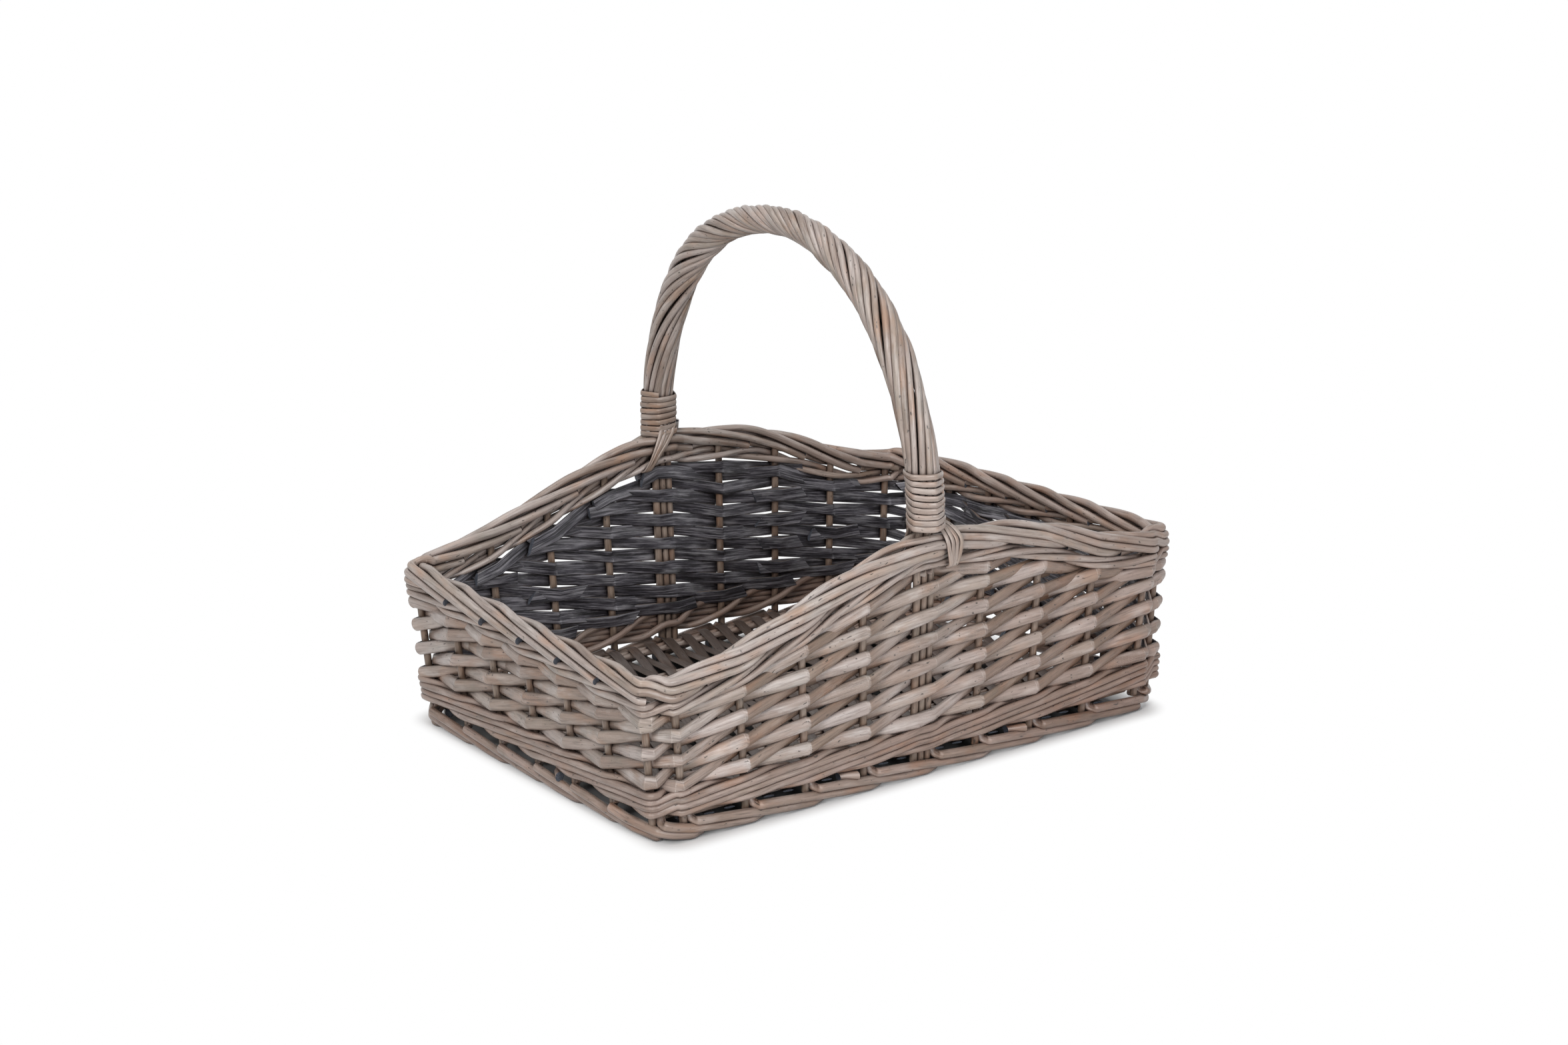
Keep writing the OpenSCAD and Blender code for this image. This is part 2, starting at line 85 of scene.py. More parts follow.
def lamp(name, place, target, size, power, colour=(1, 1, 1)):
    """A round soft lamp at place, turned to target; metres and watts."""
    light = bpy.data.lights.new(name, "AREA")
    light.shape, light.size, light.energy, light.color = "DISK", size, power, colour
    holder = bpy.data.objects.new(name, light)
    holder.location = place
    holder.rotation_euler = (Vector(target) - Vector(place)).to_track_quat("-Z", "Y").to_euler()
    scene.collection.objects.link(holder)

lamp("key lamp", (-2.0, -1.35, 1.5), (0, 0, 0.12), 0.8, 34, (1, 0.985, 0.97))
lamp("strip lamp", (-0.45, -2.2, 0.95), (0, 0, 0.1), 0.6, 23, (0.97, 0.98, 1))
lamp("top lamp", (-0.3, 0.3, 2.0), (0, 0, 0.1), 1.2, 14)

# %% Node helpers
class Nodes:
    """A short way to write nodes: add(kind, inputs by number or name, settings). A kind with
    no Node in its name is a shader node; an input given as a node is its first output."""
    def __init__(self, tree):
        self.tree = tree

    def add(self, kind, inputs=(), **settings):
        node = self.tree.nodes.new(kind if "Node" in kind else "ShaderNode" + kind)
        for key, value in settings.items():
            setattr(node, key, value)
        for key, value in dict(inputs).items():
            socket = node.inputs[key]
            if isinstance(value, bpy.types.Node):
                value = value.outputs[0]
            if isinstance(value, bpy.types.NodeSocket):
                self.tree.links.new(value, socket)
            else:
                socket.default_value = value
        return node

    def geo(self, kind, inputs=(), **settings):
        return self.add("GeometryNode" + kind, inputs, **settings)

    def math(self, operation, a, b=0.0, c=None):
        inputs = {0: a, 1: b} if c is None else {0: a, 1: b, 2: c}
        return self.add("Math", inputs, operation=operation).outputs[0]

    def product(self, a, b):
        return self.math("MULTIPLY", a, b)

print("node helpers ready")

# %% World
AMBIENT = 0.23  # strength of the room's own light

def seen_rays(n):
    """1 for what the camera sees, straight, in a mirror or through glass; else 0."""
    path = n.add("LightPath").outputs
    direct = n.math("MAXIMUM", path["Is Camera Ray"], path["Is Glossy Ray"])
    return n.math("MAXIMUM", direct, path["Is Transmission Ray"])

world = bpy.data.worlds.new("white room")
world.use_nodes = True
scene.world = world
world.node_tree.nodes.clear()
n = Nodes(world.node_tree)
soft, shown = [n.add("Background", {"Strength": strength, "Color": (1, 1, 1, 1)})
               for strength in (AMBIENT, 1)]
n.add("OutputWorld", {
    "Surface": n.add("MixShader", {0: seen_rays(n), 1: soft, 2: shown})})
print("world nodes:", len(n.tree.nodes))

# %% Floor
floor_mesh = bpy.data.meshes.new("floor")
FLOOR_CORNERS = [(-6, -6, 0), (6, -6, 0), (6, 6, 0), (-6, 6, 0)]
floor_mesh.from_pydata(FLOOR_CORNERS, [], [(0, 1, 2, 3)])
floor = bpy.data.objects.new("floor", floor_mesh)
scene.collection.objects.link(floor)
print("floor:", tuple(floor.dimensions))

# %% [markdown]
# ## The plan of the basket
# The frame of the basket is a ring of stakes. Every rod of the wall is laid out by
# three wall coordinates: its stake number round the basket, its depth out of the
# stake line, and its height. Stake 0 stands at the left front corner and the numbers
# run to the right as seen from outside. All sizes here are in millimetres.

# %% Sizes
RIM_L, RIM_W, SIDE_BOW = 457, 325, 4.5  # over the border, and the swell of the long sides
CORNER_L, CORNER_W = 18, 9  # how far a corner is cut off
FLARE_END, FLARE_SIDE = 10.5, 3.5  # how much wider the rim is than the foot, each side
LEFT_H, RIGHT_H, CROWN_H, FOOT_H = 120, 129.5, 175, 19
RIGHT_OUT, RIGHT_LEAN = 7, 0.6  # the foot of the right end stands further out
LEFT_FALL, RIGHT_RISE = 3.5, 5  # the rim's front corners, from the middle of the ends
SIDE_GAPS, END_GAPS = 8, 6  # gaps between stakes
STAKE_D, WEAVER_W, WEAVER_T, ROW_GAP = 5.4, 8, 3.2, 0.6
WALE_D, BORDER_D, FOOT_D, STICK_D = 4.3, 5.2, 5.6, 5
SLAT_W, SLAT_T, SLAT_GAP, SLAT_SLANT = 7.2, 1.4, 0.6, 13  # the slant in degrees
HANDLE_H, ROPE_D, ROPE_TURNS, ROPE_RODS = 368.5, 4.3, 3, 12
SEAT = 0.15  # air between rods that touch

ROD_R = STAKE_D / 2
N_SIDE, N_END = SIDE_GAPS + 1, END_GAPS + 1
STAKES = 2 * (N_SIDE + N_END)
BOWS = (SIDE_GAPS // 2, N_SIDE + N_END + SIDE_GAPS // 2)
FIRST = (0, N_SIDE, N_SIDE + N_END, 2 * N_SIDE + N_END, STAKES)  # first stake of each side
SIDES = {name: (FIRST[k] - 0.5, FIRST[k + 1] - 0.5)
         for k, name in enumerate(("front", "right", "back", "left"))}
WEAVE_OUT = ROD_R + WEAVER_T / 2 + SEAT
WALE_OUT = ROD_R + WALE_D / 2 + SEAT
WALE_PITCH = WALE_D + 0.2
LOWER_RODS, UPPER_RODS = 5, 3
UPPER_H = (UPPER_RODS - 1) * WALE_PITCH
ROW = WEAVER_W + ROW_GAP
BORDER_R = BORDER_D / 2
SLOTS = [(-BORDER_R, BORDER_R), (BORDER_R + 0.4, BORDER_R + 1.4),
         (BORDER_D + 0.5, BORDER_D + 3.6), (BORDER_D + 1.1, 2 * BORDER_D + 3.7)]
BORDER_OUT = SLOTS[3][0] + BORDER_R
BORDER_H = SLOTS[3][1] + BORDER_R + SEAT
LINE_L, LINE_W = RIM_L - 2 * BORDER_OUT, RIM_W - 2 * BORDER_OUT - 2 * SIDE_BOW
GROUP_W = STAKE_D + 0.2
CORNER_STEP = 0.2  # where a rod is free of a corner stake, in gaps
BOW_BOTTOM = 2 * FOOT_D
WALL_BOTTOM = FOOT_H + (LOWER_RODS - 1) * WALE_PITCH
END_H = (LEFT_H + RIGHT_H) / 2
print("stakes:", STAKES, "row height:", ROW)

# %% Plan of the stake line
def lerp(a, b, f):
    return a + (b - a) * f

def half_l(z):
    return LINE_L / 2 - FLARE_END * (1 - z / END_H)

def half_w(z):
    return LINE_W / 2 - FLARE_SIDE * (1 - z / END_H)

def even_xy(i, z):
    """Stake i at height z in a basket with two like ends."""
    k = i % STAKES
    on = sum(k >= first for first in FIRST) - 1  # front, right, back or left
    k -= FIRST[on]
    if on % 2 == 0:
        side, u = on - 1, 2 * k / SIDE_GAPS - 1
        return Vector((-side * u * (half_l(z) - CORNER_L), side * (half_w(z) + SIDE_BOW * (1 - u * u))))
    side = 2 - on
    return Vector((side * half_l(z), side * (2 * k / END_GAPS - 1) * (half_w(z) - CORNER_W)))

def stake_xy(i, z):
    """Stake i at height z, with the right end drawn out, most of all at the foot."""
    p = even_xy(i, z)
    drawn = max(0, p.x) * RIGHT_OUT * (1 - RIGHT_LEAN * z / END_H) / (LINE_L / 2) ** 2
    return Vector((p.x * (1 + drawn), p.y))

def line_xy(t, z):
    i = math.floor(t)
    return stake_xy(i, z).lerp(stake_xy(i + 1, z), t - i)

def gap_out(i, z):
    e = (stake_xy(i + 1, z) - stake_xy(i, z)).normalized()
    return Vector((e.y, -e.x))

def out(t, z):
    """The way out of the wall; at a stake it halves the angle and keeps the rods' distance."""
    i = math.floor(t + 1e-6)
    b = gap_out(i, z)
    if t - i > 0.001:
        return b
    m = (gap_out(i - 1, z) + b).normalized()
    return m / m.dot(b)

def gap_l(t):
    i = math.floor(t)
    return (stake_xy(i + 1, 0) - stake_xy(i, 0)).length

def place(t, d, z):
    p = line_xy(t, z) + d * out(t, z)
    return Vector((p.x, p.y, z))

def facing(t, z):
    o = out(t, z).normalized()
    return Vector((o.x, o.y, 0))

print("half length at the rim:", round(half_l(END_H), 1), "half width:", round(half_w(END_H), 1))

# %% Height of the rim
def rim(t):
    """Height of the border's top, a wave from both ends to the handle, fuller on the right."""
    x, y = line_xy(t, 0)
    u = min(1, abs(x) / (half_l(0) - CORNER_L))
    hump = 0.3 * (1 + cos(pi * u)) + 0.4 * (1 - u)
    if x > 0:
        hump += 0.18 * sin(pi * u) ** 2
    end = LEFT_H + LEFT_FALL * y / half_w(0) if x < 0 else RIGHT_H - RIGHT_RISE * y / half_w(0)
    return lerp(end, CROWN_H, hump)

def steep(t):
    """How much longer a measure across the border gets when it is taken upright."""
    run = (line_xy(t + 0.5, 0) - line_xy(t - 0.5, 0)).length
    return math.hypot(1, (rim(t + 0.5) - rim(t - 0.5)) / run)

def below(t, drop):
    """Height at t that lies drop under the rim, measured across the border."""
    return rim(t) - drop * steep(t)

def wall_top(t):
    return below(t, BORDER_H + UPPER_H)

def is_bow(i):
    return i % STAKES in BOWS

def is_turn(i):
    return i % STAKES in FIRST

def group(i):
    """Half the width of the bow's three rods, in gaps."""
    return (GROUP_W + 1) / gap_l(i)

def passing(i, d, z):
    """Where a rod passes stake i: one point, or two across the bow's rods and at a corner."""
    before = group(i) if is_bow(i) else CORNER_STEP if is_turn(i) else 0
    after = group(i) if is_bow(i) else CORNER_STEP if is_turn(i + 1) else 0
    points = [(i - before, d, z)] if before else []
    if not is_bow(i):
        points.append((i, d, z))
    return points + ([(i + after, d, z)] if after else [])

print("rim at the crown:", rim(4), "at the corners:", rim(0), rim(8))

# %% [markdown]
# ## Laying a rod on a line
# A guide is a row of points with attributes: the direction that faces out of the wall,
# the girth of the rod there, how worn it is (on a weaver also whether it is on a stretch
# coming out of the wall, which the split finish paints paler as lit), the way along the
# rod, and the rod's own number. A sharp bend is a short arc, as in willow that is bent wet over a stake.

# %% Guides
def rounded(points, reach, steps=5):
    """Replace each corner of a row of points by a short arc, most worn at its middle."""
    made = [points[0]]
    for before, here, after in zip(points, points[1:], points[2:]):
        la, lb = (here[0] - before[0]).length, (after[0] - here[0]).length
        ca, cb = min(reach, 0.46 * la) / max(la, 1e-6), min(reach, 0.46 * lb) / max(lb, 1e-6)
        a = [lerp(h, b, ca) for h, b in zip(here, before)]
        b = [lerp(h, n, cb) for h, n in zip(here, after)]
        for k in range(steps + 1):
            f = k / steps
            arc = [lerp(lerp(p, q, f), lerp(q, r, f), f) for p, q, r in zip(a, here, b)]
            if len(arc) > 3:  # there is wear
                arc[3] = max(here[3] * (1 - abs(2 * f - 1)), min(arc[3], 0.5))
            made.append(tuple(arc))
    return made + [points[-1]]

def stepped(points, step):
    """Add points so that none is further than step from the next."""
    made = [points[0]]
    for a, b in zip(points, points[1:]):
        n = max(1, math.ceil((b[0] - a[0]).length / step))
        made += [tuple(lerp(p, q, k / n) for p, q in zip(a, b)) for k in range(1, n + 1)]
    return made

def flowing(points, step):
    """A smooth line through all points, for round rods that bend slowly."""
    made = []
    ends = [points[0]] + list(points) + [points[-1]]
    for p0, p1, p2, p3 in zip(ends, ends[1:], ends[2:], ends[3:]):
        n = max(2, math.ceil((p2[0] - p1[0]).length / step))
        for k in range(n):
            f = k / n
            made.append(tuple(0.5 * (2 * b + (c - a) * f + (2 * a - 5 * b + 4 * c - d) * f * f
                    + (3 * b - a - 3 * c + d) * f ** 3)
                              for a, b, c, d in zip(p0, p1, p2, p3)))
    return made + [points[-1]]

def measured(points):
    """Add to each point of a free row how worn it is, and its way from the start in metres."""
    made, way = [], 0.0
    for k, point in enumerate(points):
        way += (point[0] - points[k - 1][0]).length / 1000 if k else 0.0
        made.append((*point[:3], point[3] if len(point) > 3 else 0.0, way))
    return made

def guides(name, rows):
    """One mesh of open lines. A row is a number and (place in mm, facing, girth, wear and lit side, along)s.
    """
    mesh = bpy.data.meshes.new(name)
    verts, edges, face = [], [], []
    single = {"girth": [], "wear_and_lit_side": [], "along": [], "rod": []}
    for number, row in rows:
        start = len(verts)
        for place_mm, facing_out, thick, wear_and_lit_side, way in row:
            verts.append(place_mm / 1000)
            face += list(facing_out)
            for key, value in (("girth", thick), ("wear_and_lit_side", wear_and_lit_side), ("along", way), ("rod", number)):
                single[key].append(value)
        edges += [(k, k + 1) for k in range(start, len(verts) - 1)]
    mesh.from_pydata(verts, edges, [])
    mesh.attributes.new("facing", "FLOAT_VECTOR", "POINT").data.foreach_set("vector", face)
    for key, values in single.items():
        mesh.attributes.new(key, "FLOAT", "POINT").data.foreach_set("value", values)
    return mesh

print("guide helpers ready")

# %% [markdown]
# The node tree takes the guides, sweeps a section along them and closes the ends. The
# section is round for a rod and flat underneath for a split one. It keeps the place
# of each point in the unbent rod as an attribute, so that grain follows every bend.

# %% The tree that lays rods
lay = bpy.data.node_groups.new("lay rods", "GeometryNodeTree")
for title, kind, value in (
        ("Guides", "Geometry", None), ("Width", "Float", 0.005), ("Thickness", "Float", 0.005),
        ("Split", "Float", 0.0), ("Sides", "Int", 12), ("Wobble", "Float", 0.0003), ("Seed", "Int", 1),
        ("Bark", "Material", None), ("Cut end", "Material", None)):
    item = lay.interface.new_socket(title, in_out="INPUT", socket_type="NodeSocket" + kind)
    if value is not None:
        item.default_value = value
lay.interface.new_socket("Rods", in_out="OUTPUT", socket_type="NodeSocketGeometry")
n = Nodes(lay)
given = n.add("NodeGroupInput").outputs

def stored(name, kind="FLOAT"):
    return n.geo("InputNamedAttribute", {"Name": name}, data_type=kind)

def store(geometry, name, vector):
    return n.geo("StoreNamedAttribute", {"Geometry": geometry, "Name": name, "Value": vector},
                 data_type="FLOAT_VECTOR", domain="POINT")

def scaled(vector, amount):
    return n.add("VectorMath", {0: vector, "Scale": amount}, operation="SCALE")

print("tree inputs:", len(given))

# %% The tree: the section, with x the way the rod faces and y its width
ring = n.geo("CurvePrimitiveCircle", {"Resolution": given["Sides"], "Radius": 1.0})
where = n.add("SeparateXYZ", {0: n.geo("InputPosition")})
half_width = n.product(given["Width"], 0.5)
domed = n.math("MULTIPLY_ADD", given["Split"], 0.36, 0.5)
under = n.math("MULTIPLY_ADD", given["Split"], -0.36, 0.5)
flattened = n.math("MINIMUM", n.product(n.math("ABSOLUTE", where.outputs[1]),
        n.math("MULTIPLY_ADD", given["Split"], 3.0, 1.0)), 1.0)
top_side = n.math("GREATER_THAN", where.outputs[1], 0.0)
rise = n.product(n.product(where.outputs[1], domed), top_side)
drop = n.product(n.product(flattened, under), n.math("SUBTRACT", 1.0, top_side))
height = n.product(n.math("SUBTRACT", rise, drop), given["Thickness"])
across = n.product(n.product(where.outputs[0], -1.0), half_width)
section_place = n.add("CombineXYZ", {0: height, 1: across})
shaped = n.geo("SetPosition", {"Geometry": ring, "Position": section_place})
section = store(shaped, "section", n.geo("InputPosition"))

print("tree nodes:", len(lay.nodes))

# %% The tree: the line, swayed a little by noise, the cut ends and the skin
lines = n.geo("MeshToCurve", {"Mesh": given["Guides"]})
turned = n.geo("SetCurveNormal", {
    "Curve": lines, "Normal": stored("facing", "FLOAT_VECTOR")}, mode="FREE")
rod_number = stored("rod")
spot = n.add("CombineXYZ", {0: n.product(stored("along"), 22.0), 1: n.product(rod_number, 3.7),
        2: n.product(given["Seed"], 5.3)})
sway = n.add("TexNoise", {"Vector": spot, "Scale": 1.0, "Detail": 1.0})
sway_off = n.add("VectorMath", {0: sway.outputs["Color"], 1: (0.5, 0.5, 0.5)}, operation="SUBTRACT")
swayed = n.geo("SetPosition", {"Geometry": turned, "Offset": scaled(
    sway_off, n.product(given["Wobble"], 2.0))})

# an end with wear below -0.5 keeps its own direction, along which it is cut aslant
tails = n.geo("CurveEndpointSelection", {"Start Size": 0, "End Size": 1})
heads = n.geo("CurveEndpointSelection", {"Start Size": 1, "End Size": 0})
cut_now = n.product(n.math("SUBTRACT", tails, heads), n.math("LESS_THAN", stored("wear_and_lit_side"), -0.5))
marked = store(swayed, "cut way", scaled(n.geo("InputTangent"), cut_now))
swept = n.geo("CurveToMesh", {"Curve": marked, "Profile Curve": section,
        "Scale": stored("girth"), "Fill Caps": True})
many = n.math("GREATER_THAN", n.geo("CornersOfFace").outputs["Total"], 4.5)  # the caps
slope = n.math("SINE", n.product(rod_number, 2.3))
side_now = n.add("SeparateXYZ", {0: stored("section", "FLOAT_VECTOR")}).outputs[1]
reach = n.math("MULTIPLY_ADD", side_now, slope, n.product(half_width, n.math("ABSOLUTE", slope)))
slanted = n.geo("SetPosition", {"Geometry": swept, "Offset": scaled(
    stored("cut way", "FLOAT_VECTOR"), n.product(reach, 0.8))})

# smooth sides, and flat caps of another material
last_steps = (("SetShadeSmooth", {"Shade Smooth": True}),
              ("SetShadeSmooth", {"Selection": many, "Shade Smooth": False}),
              ("RealizeInstances", {}), ("SetMaterial", {"Material": given["Bark"]}),
              ("SetMaterial", {"Selection": many, "Material": given["Cut end"]}))
rods = slanted
for kind, inputs in last_steps:
    rods = n.geo(kind, {"Geometry": rods, **inputs})
n.add("NodeGroupOutput", {"Rods": rods})
print("tree nodes:", len(lay.nodes))

# %% Making a piece from guides
def laid(name, rows, node, skin, width, thickness, split=0.0, sides=12, wobble=0.0003, seed=1):
    """Lay rods on guide rows, make them one plain mesh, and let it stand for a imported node."""
    name = name.replace(" ", "_")
    holder = bpy.data.objects.new(name + "_guides", guides(name + "_guides", rows))
    scene.collection.objects.link(holder)
    lay_on = holder.modifiers.new("lay rods", "NODES")
    lay_on.node_group = lay
    values = {"Width": width / 1000, "Thickness": thickness / 1000, "Split": split, "Sides": sides,
              "Wobble": wobble, "Seed": seed, "Bark": skin, "Cut end": cut_end}
    for item in lay.interface.items_tree:
        if item.item_type == "SOCKET" and item.in_out == "INPUT" and item.name in values:
            lay_on[item.identifier] = values[item.name]
    mesh = bpy.data.meshes.new_from_object(holder.evaluated_get(bpy.context.evaluated_depsgraph_get()))
    mesh.name = name
    bpy.data.objects.remove(holder)
    piece = bpy.data.objects.new(name, mesh)
    scene.collection.objects.link(piece)
    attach(piece, "root")
    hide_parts(node)
    print(name, "rods:", len(rows), "faces:", len(mesh.polygons))

print("laying ready")

# %% [markdown]
# ## Finishes
# The willow is weathered and stained grey. Bark is a satin grey-brown, each rod a
# little different, with long fine wrinkles, small dark specks, pale scuffs and rusty
# blushes. The split face is charcoal with open grain, and a cut end is nearly black.
# Every finish is darkened close to its neighbours: partly stain that settled where rods touch, partly painted
# shade in the crevices between them.

# %% Finish helpers
def finish(name):
    paint = bpy.data.materials.new(name)
    paint.use_nodes = True
    paint.node_tree.nodes.clear()
    return paint, Nodes(paint.node_tree)

def attribute(n, name, want):
    return n.add("Attribute", attribute_type="GEOMETRY", attribute_name=name).outputs[want]

def object_xyz(n):
    return n.add("SeparateXYZ", {0: n.add("TexCoord").outputs["Object"]}).outputs

def rod_space(n, stretch):
    """The place in the unbent rod, in metres, shifted for each rod and stretched along it."""
    section = n.add("SeparateXYZ", {0: attribute(n, "section", "Vector")})
    rod, along = attribute(n, "rod", "Fac"), attribute(n, "along", "Fac")
    return n.add("CombineXYZ", {
        0: n.math("MULTIPLY_ADD", rod, 0.731, section.outputs[0]),
        1: n.math("MULTIPLY_ADD", rod, 0.393, section.outputs[1]),
        2: n.product(along, stretch)}).outputs[0]

def noise_of(n, space, scale, detail=3.0, rough=0.55):
    return n.add("TexNoise", {"Vector": space, "Scale": scale, "Detail": detail,
            "Roughness": rough}).outputs["Fac"]

def rod_noise(n, stretch, *scale_detail_rough):
    return noise_of(n, rod_space(n, stretch), *scale_detail_rough)

def ramp(n, value, stops):
    node = n.add("ValToRGB", {"Fac": value})
    bar = node.color_ramp
    while len(bar.elements) < len(stops):
        bar.elements.new(0.5)
    for element, (at, colour) in zip(bar.elements, stops):
        element.position, element.color = at, (*colour, 1)
    return node.outputs["Color"]

def part_of(n, value, low, high, most=1.0):
    """How far value is on its way from low to high, as a number from 0 to most."""
    return n.add("MapRange", {"Value": value, "From Min": low, "From Max": high,
            "To Min": 0.0, "To Max": most}).outputs[0]

def mixed(n, amount, a, b, blend="MIX"):
    a, b = [(*colour, 1) if isinstance(colour, tuple) else colour for colour in (a, b)]
    node = n.add("Mix", {"Factor": amount, 6: a, 7: b}, data_type="RGBA", blend_type=blend,
                 clamp_factor=True)
    return node.outputs[2]

SHADE_AND_STAIN_REACH = 0.006

def surface(n, colour, roughness, height, depth, gloss=0.5):
    """Close a finish: painted shade and stain near other rods, bump from height, and a satin surface."""
    # painted shade and stain: the colour goes nearly black where other rods lie within a few millimetres
    near = n.add("AmbientOcclusion", {"Distance": SHADE_AND_STAIN_REACH}, samples=6).outputs["AO"]
    colour = mixed(n, 1.0, colour, ramp(n, near, [(0.12, (0.10, 0.09, 0.095)), (0.45, (0.52, 0.47, 0.46)),
            (0.85, (1, 1, 1))]), "MULTIPLY")
    bump = n.add("Bump", {"Height": height, "Strength": 1.0, "Distance": depth})
    shader = n.add("BsdfPrincipled", {"Base Color": colour, "Roughness": roughness,
            "Normal": bump, "Specular IOR Level": gloss,
            "Coat Weight": 0.22, "Coat Roughness": 0.3})
    n.add("OutputMaterial", {"Surface": shader})

print("finish helpers ready")

# %% Bark
TONES = [(0.0, (0.270, 0.212, 0.182)), (0.2, (0.345, 0.287, 0.258)), (0.4, (0.225, 0.166, 0.134)),
         (0.6, (0.310, 0.252, 0.212)), (0.8, (0.375, 0.318, 0.292)), (1.0, (0.255, 0.186, 0.148))]
# rusty, pale, greenish: stretch, scale, detail, where it begins and is full, share, colour
BLOTCHES = [(0.6, 60, 2, 0.52, 0.72, 0.55, (0.37, 0.215, 0.135)),
            (0.3, 130, 3, 0.50, 0.72, 0.65, (0.50, 0.455, 0.43)),
            (0.45, 75, 2, 0.55, 0.78, 0.45, (0.17, 0.165, 0.135))]

def bark_colour(n, light=(1, 1, 1)):
    """Colour of the bark, tinted darker or paler by light (for the stakes a painted shade), and the height of
    its wrinkles.
    """
    def tone(*colour):
        return tuple(c * l for c, l in zip(colour, light))
    own = n.add("TexWhiteNoise", {"W": attribute(n, "rod", "Fac")},
                noise_dimensions="1D").outputs["Value"]
    drift = rod_noise(n, 0.5, 42, 1)
    colour = ramp(n, n.math("MULTIPLY_ADD", drift, 0.35, n.product(own, 0.8)),
                  [(at, tone(*shade)) for at, shade in TONES])
    streak = rod_noise(n, 0.07, 800, 4, 0.65)
    for stretch, scale, detail, low, high, most, blotch in BLOTCHES:
        spread = part_of(n, rod_noise(n, stretch, scale, detail), low, high, most)
        colour = mixed(n, spread, colour, tone(*blotch))
    colour = mixed(n, 0.75, colour, ramp(n, streak, [(0.30, (0.42, 0.39, 0.38)), (0.46, (0.95, 0.94, 0.93)),
            (0.70, (1.28, 1.28, 1.29))]), "MULTIPLY")
    # painted shade: the bark is made darker and browner towards the right end and the bottom of the basket
    spot = object_xyz(n)
    shaded_low_right = n.math("MULTIPLY_ADD", spot[2], -0.9, spot[0])
    colour = mixed(n, part_of(n, shaded_low_right, -0.10, 0.16, 0.9), colour, (0.82, 0.72, 0.67), "MULTIPLY")
    speck = rod_noise(n, 0.5, 520, 1)
    field = rod_noise(n, 1.0, 60, 1)
    spots = n.product(part_of(n, speck, 0.69, 0.74), n.math("GREATER_THAN", field, 0.46))
    colour = mixed(n, n.product(spots, 0.8), colour, (0.03, 0.024, 0.02))
    fold = part_of(n, attribute(n, "wear_and_lit_side", "Fac"), 0.72, 1.0)
    wear_and_lit_side = n.product(fold, part_of(n, rod_noise(n, 0.8, 420, 2), 0.42, 0.62, 0.5))
    colour = mixed(n, wear_and_lit_side, colour, tone(0.60, 0.54, 0.49))
    wrinkle = n.math("SUBTRACT", n.math("MULTIPLY_ADD", wear_and_lit_side, 0.25, streak), n.product(spots, 0.3))
    return colour, wrinkle

def bark_finish(name, light, roughness, depth, gloss=0.5):
    paint, n = finish(name)
    colour, wrinkle = bark_colour(n, light)
    surface(n, colour, roughness, wrinkle, depth, gloss)
    return paint

bark = bark_finish("weathered bark", (1, 1, 1), 0.37, 0.0003)
earthy = bark_finish("earthy bark", (0.80, 0.72, 0.68), 0.42, 0.0003)
# painted shade: a darker, browner copy of the bark for the stakes, which stand back between the weavers; the
# handle bow has it too
shaded_stake_bark = bark_finish("shaded stake bark", (0.66, 0.60, 0.53), 0.45, 0.0003)
slat_bark = bark_finish("dark slat", (0.34, 0.33, 0.33), 0.55, 0.0004, 0.4)
skein = bark_finish("skein willow", (0.96, 0.93, 0.90), 0.36, 0.0002)
print("bark nodes:", len(bark.node_tree.nodes))

# %% Split face and cut end
split, n = finish("split willow")
colour, wrinkle = bark_colour(n)
# painted light: paler where a weaver comes out of the wall and turns towards the lamps, browner where it goes
# in, and a little paler on the left end
lit_side_and_left_end = n.math("MAXIMUM", part_of(n, attribute(n, "wear_and_lit_side", "Fac"), 0.0, 0.2),
                    part_of(n, object_xyz(n)[0], -0.196, -0.208, 0.55))
colour = mixed(n, 1.0, colour, ramp(n, lit_side_and_left_end, [(0.0, (0.74, 0.64, 0.56)),
        (1.0, (1.07, 1.08, 1.10))]), "MULTIPLY")
section = n.add("SeparateXYZ", {0: attribute(n, "section", "Vector")})
# painted shade: a split weaver goes dark along its top and bottom edges, where it meets the rows above and
# below
painted_edge_shade = part_of(n, n.math("ABSOLUTE", section.outputs[1]), 0.0040, 0.0050, 0.75)
colour = mixed(n, painted_edge_shade, colour, (0.085, 0.072, 0.06))
grain = rod_noise(n, 0.035, 1100, 5, 0.7)
wide_grain = rod_noise(n, 0.08, 260, 3)
scuff = rod_noise(n, 0.25, 170, 4)
inner = ramp(n, n.math("MULTIPLY_ADD", grain, 0.55, n.product(wide_grain, 0.45)),
             [(0.41, (0.010, 0.009, 0.012)), (0.49, (0.050, 0.047, 0.058)), (0.59, (0.185, 0.178, 0.195))])
inner = mixed(n, part_of(n, scuff, 0.52, 0.68, 0.65), inner, (0.27, 0.265, 0.28))
inner = mixed(n, 0.8, inner, ramp(n, grain, [(0.42, (0.35, 0.35, 0.36)),
        (0.58, (1.35, 1.35, 1.35))]), "MULTIPLY")
inside = part_of(n, section.outputs[0], 0.00015, -0.00015)
surface(n, mixed(n, inside, colour, inner), 0.38,
        n.math("ADD", wrinkle, n.product(inside, n.math("ADD", grain, wide_grain))), 0.00045)

cut_end, n = finish("cut end")
fresh = noise_of(n, n.add("TexCoord").outputs["Object"], 1500, 3)
surface(n, ramp(n, fresh, [(0.3, (0.022, 0.025, 0.034)), (0.7, (0.105, 0.12, 0.15))]), 0.7, fresh, 0.0003)
print("split nodes:", len(split.node_tree.nodes))
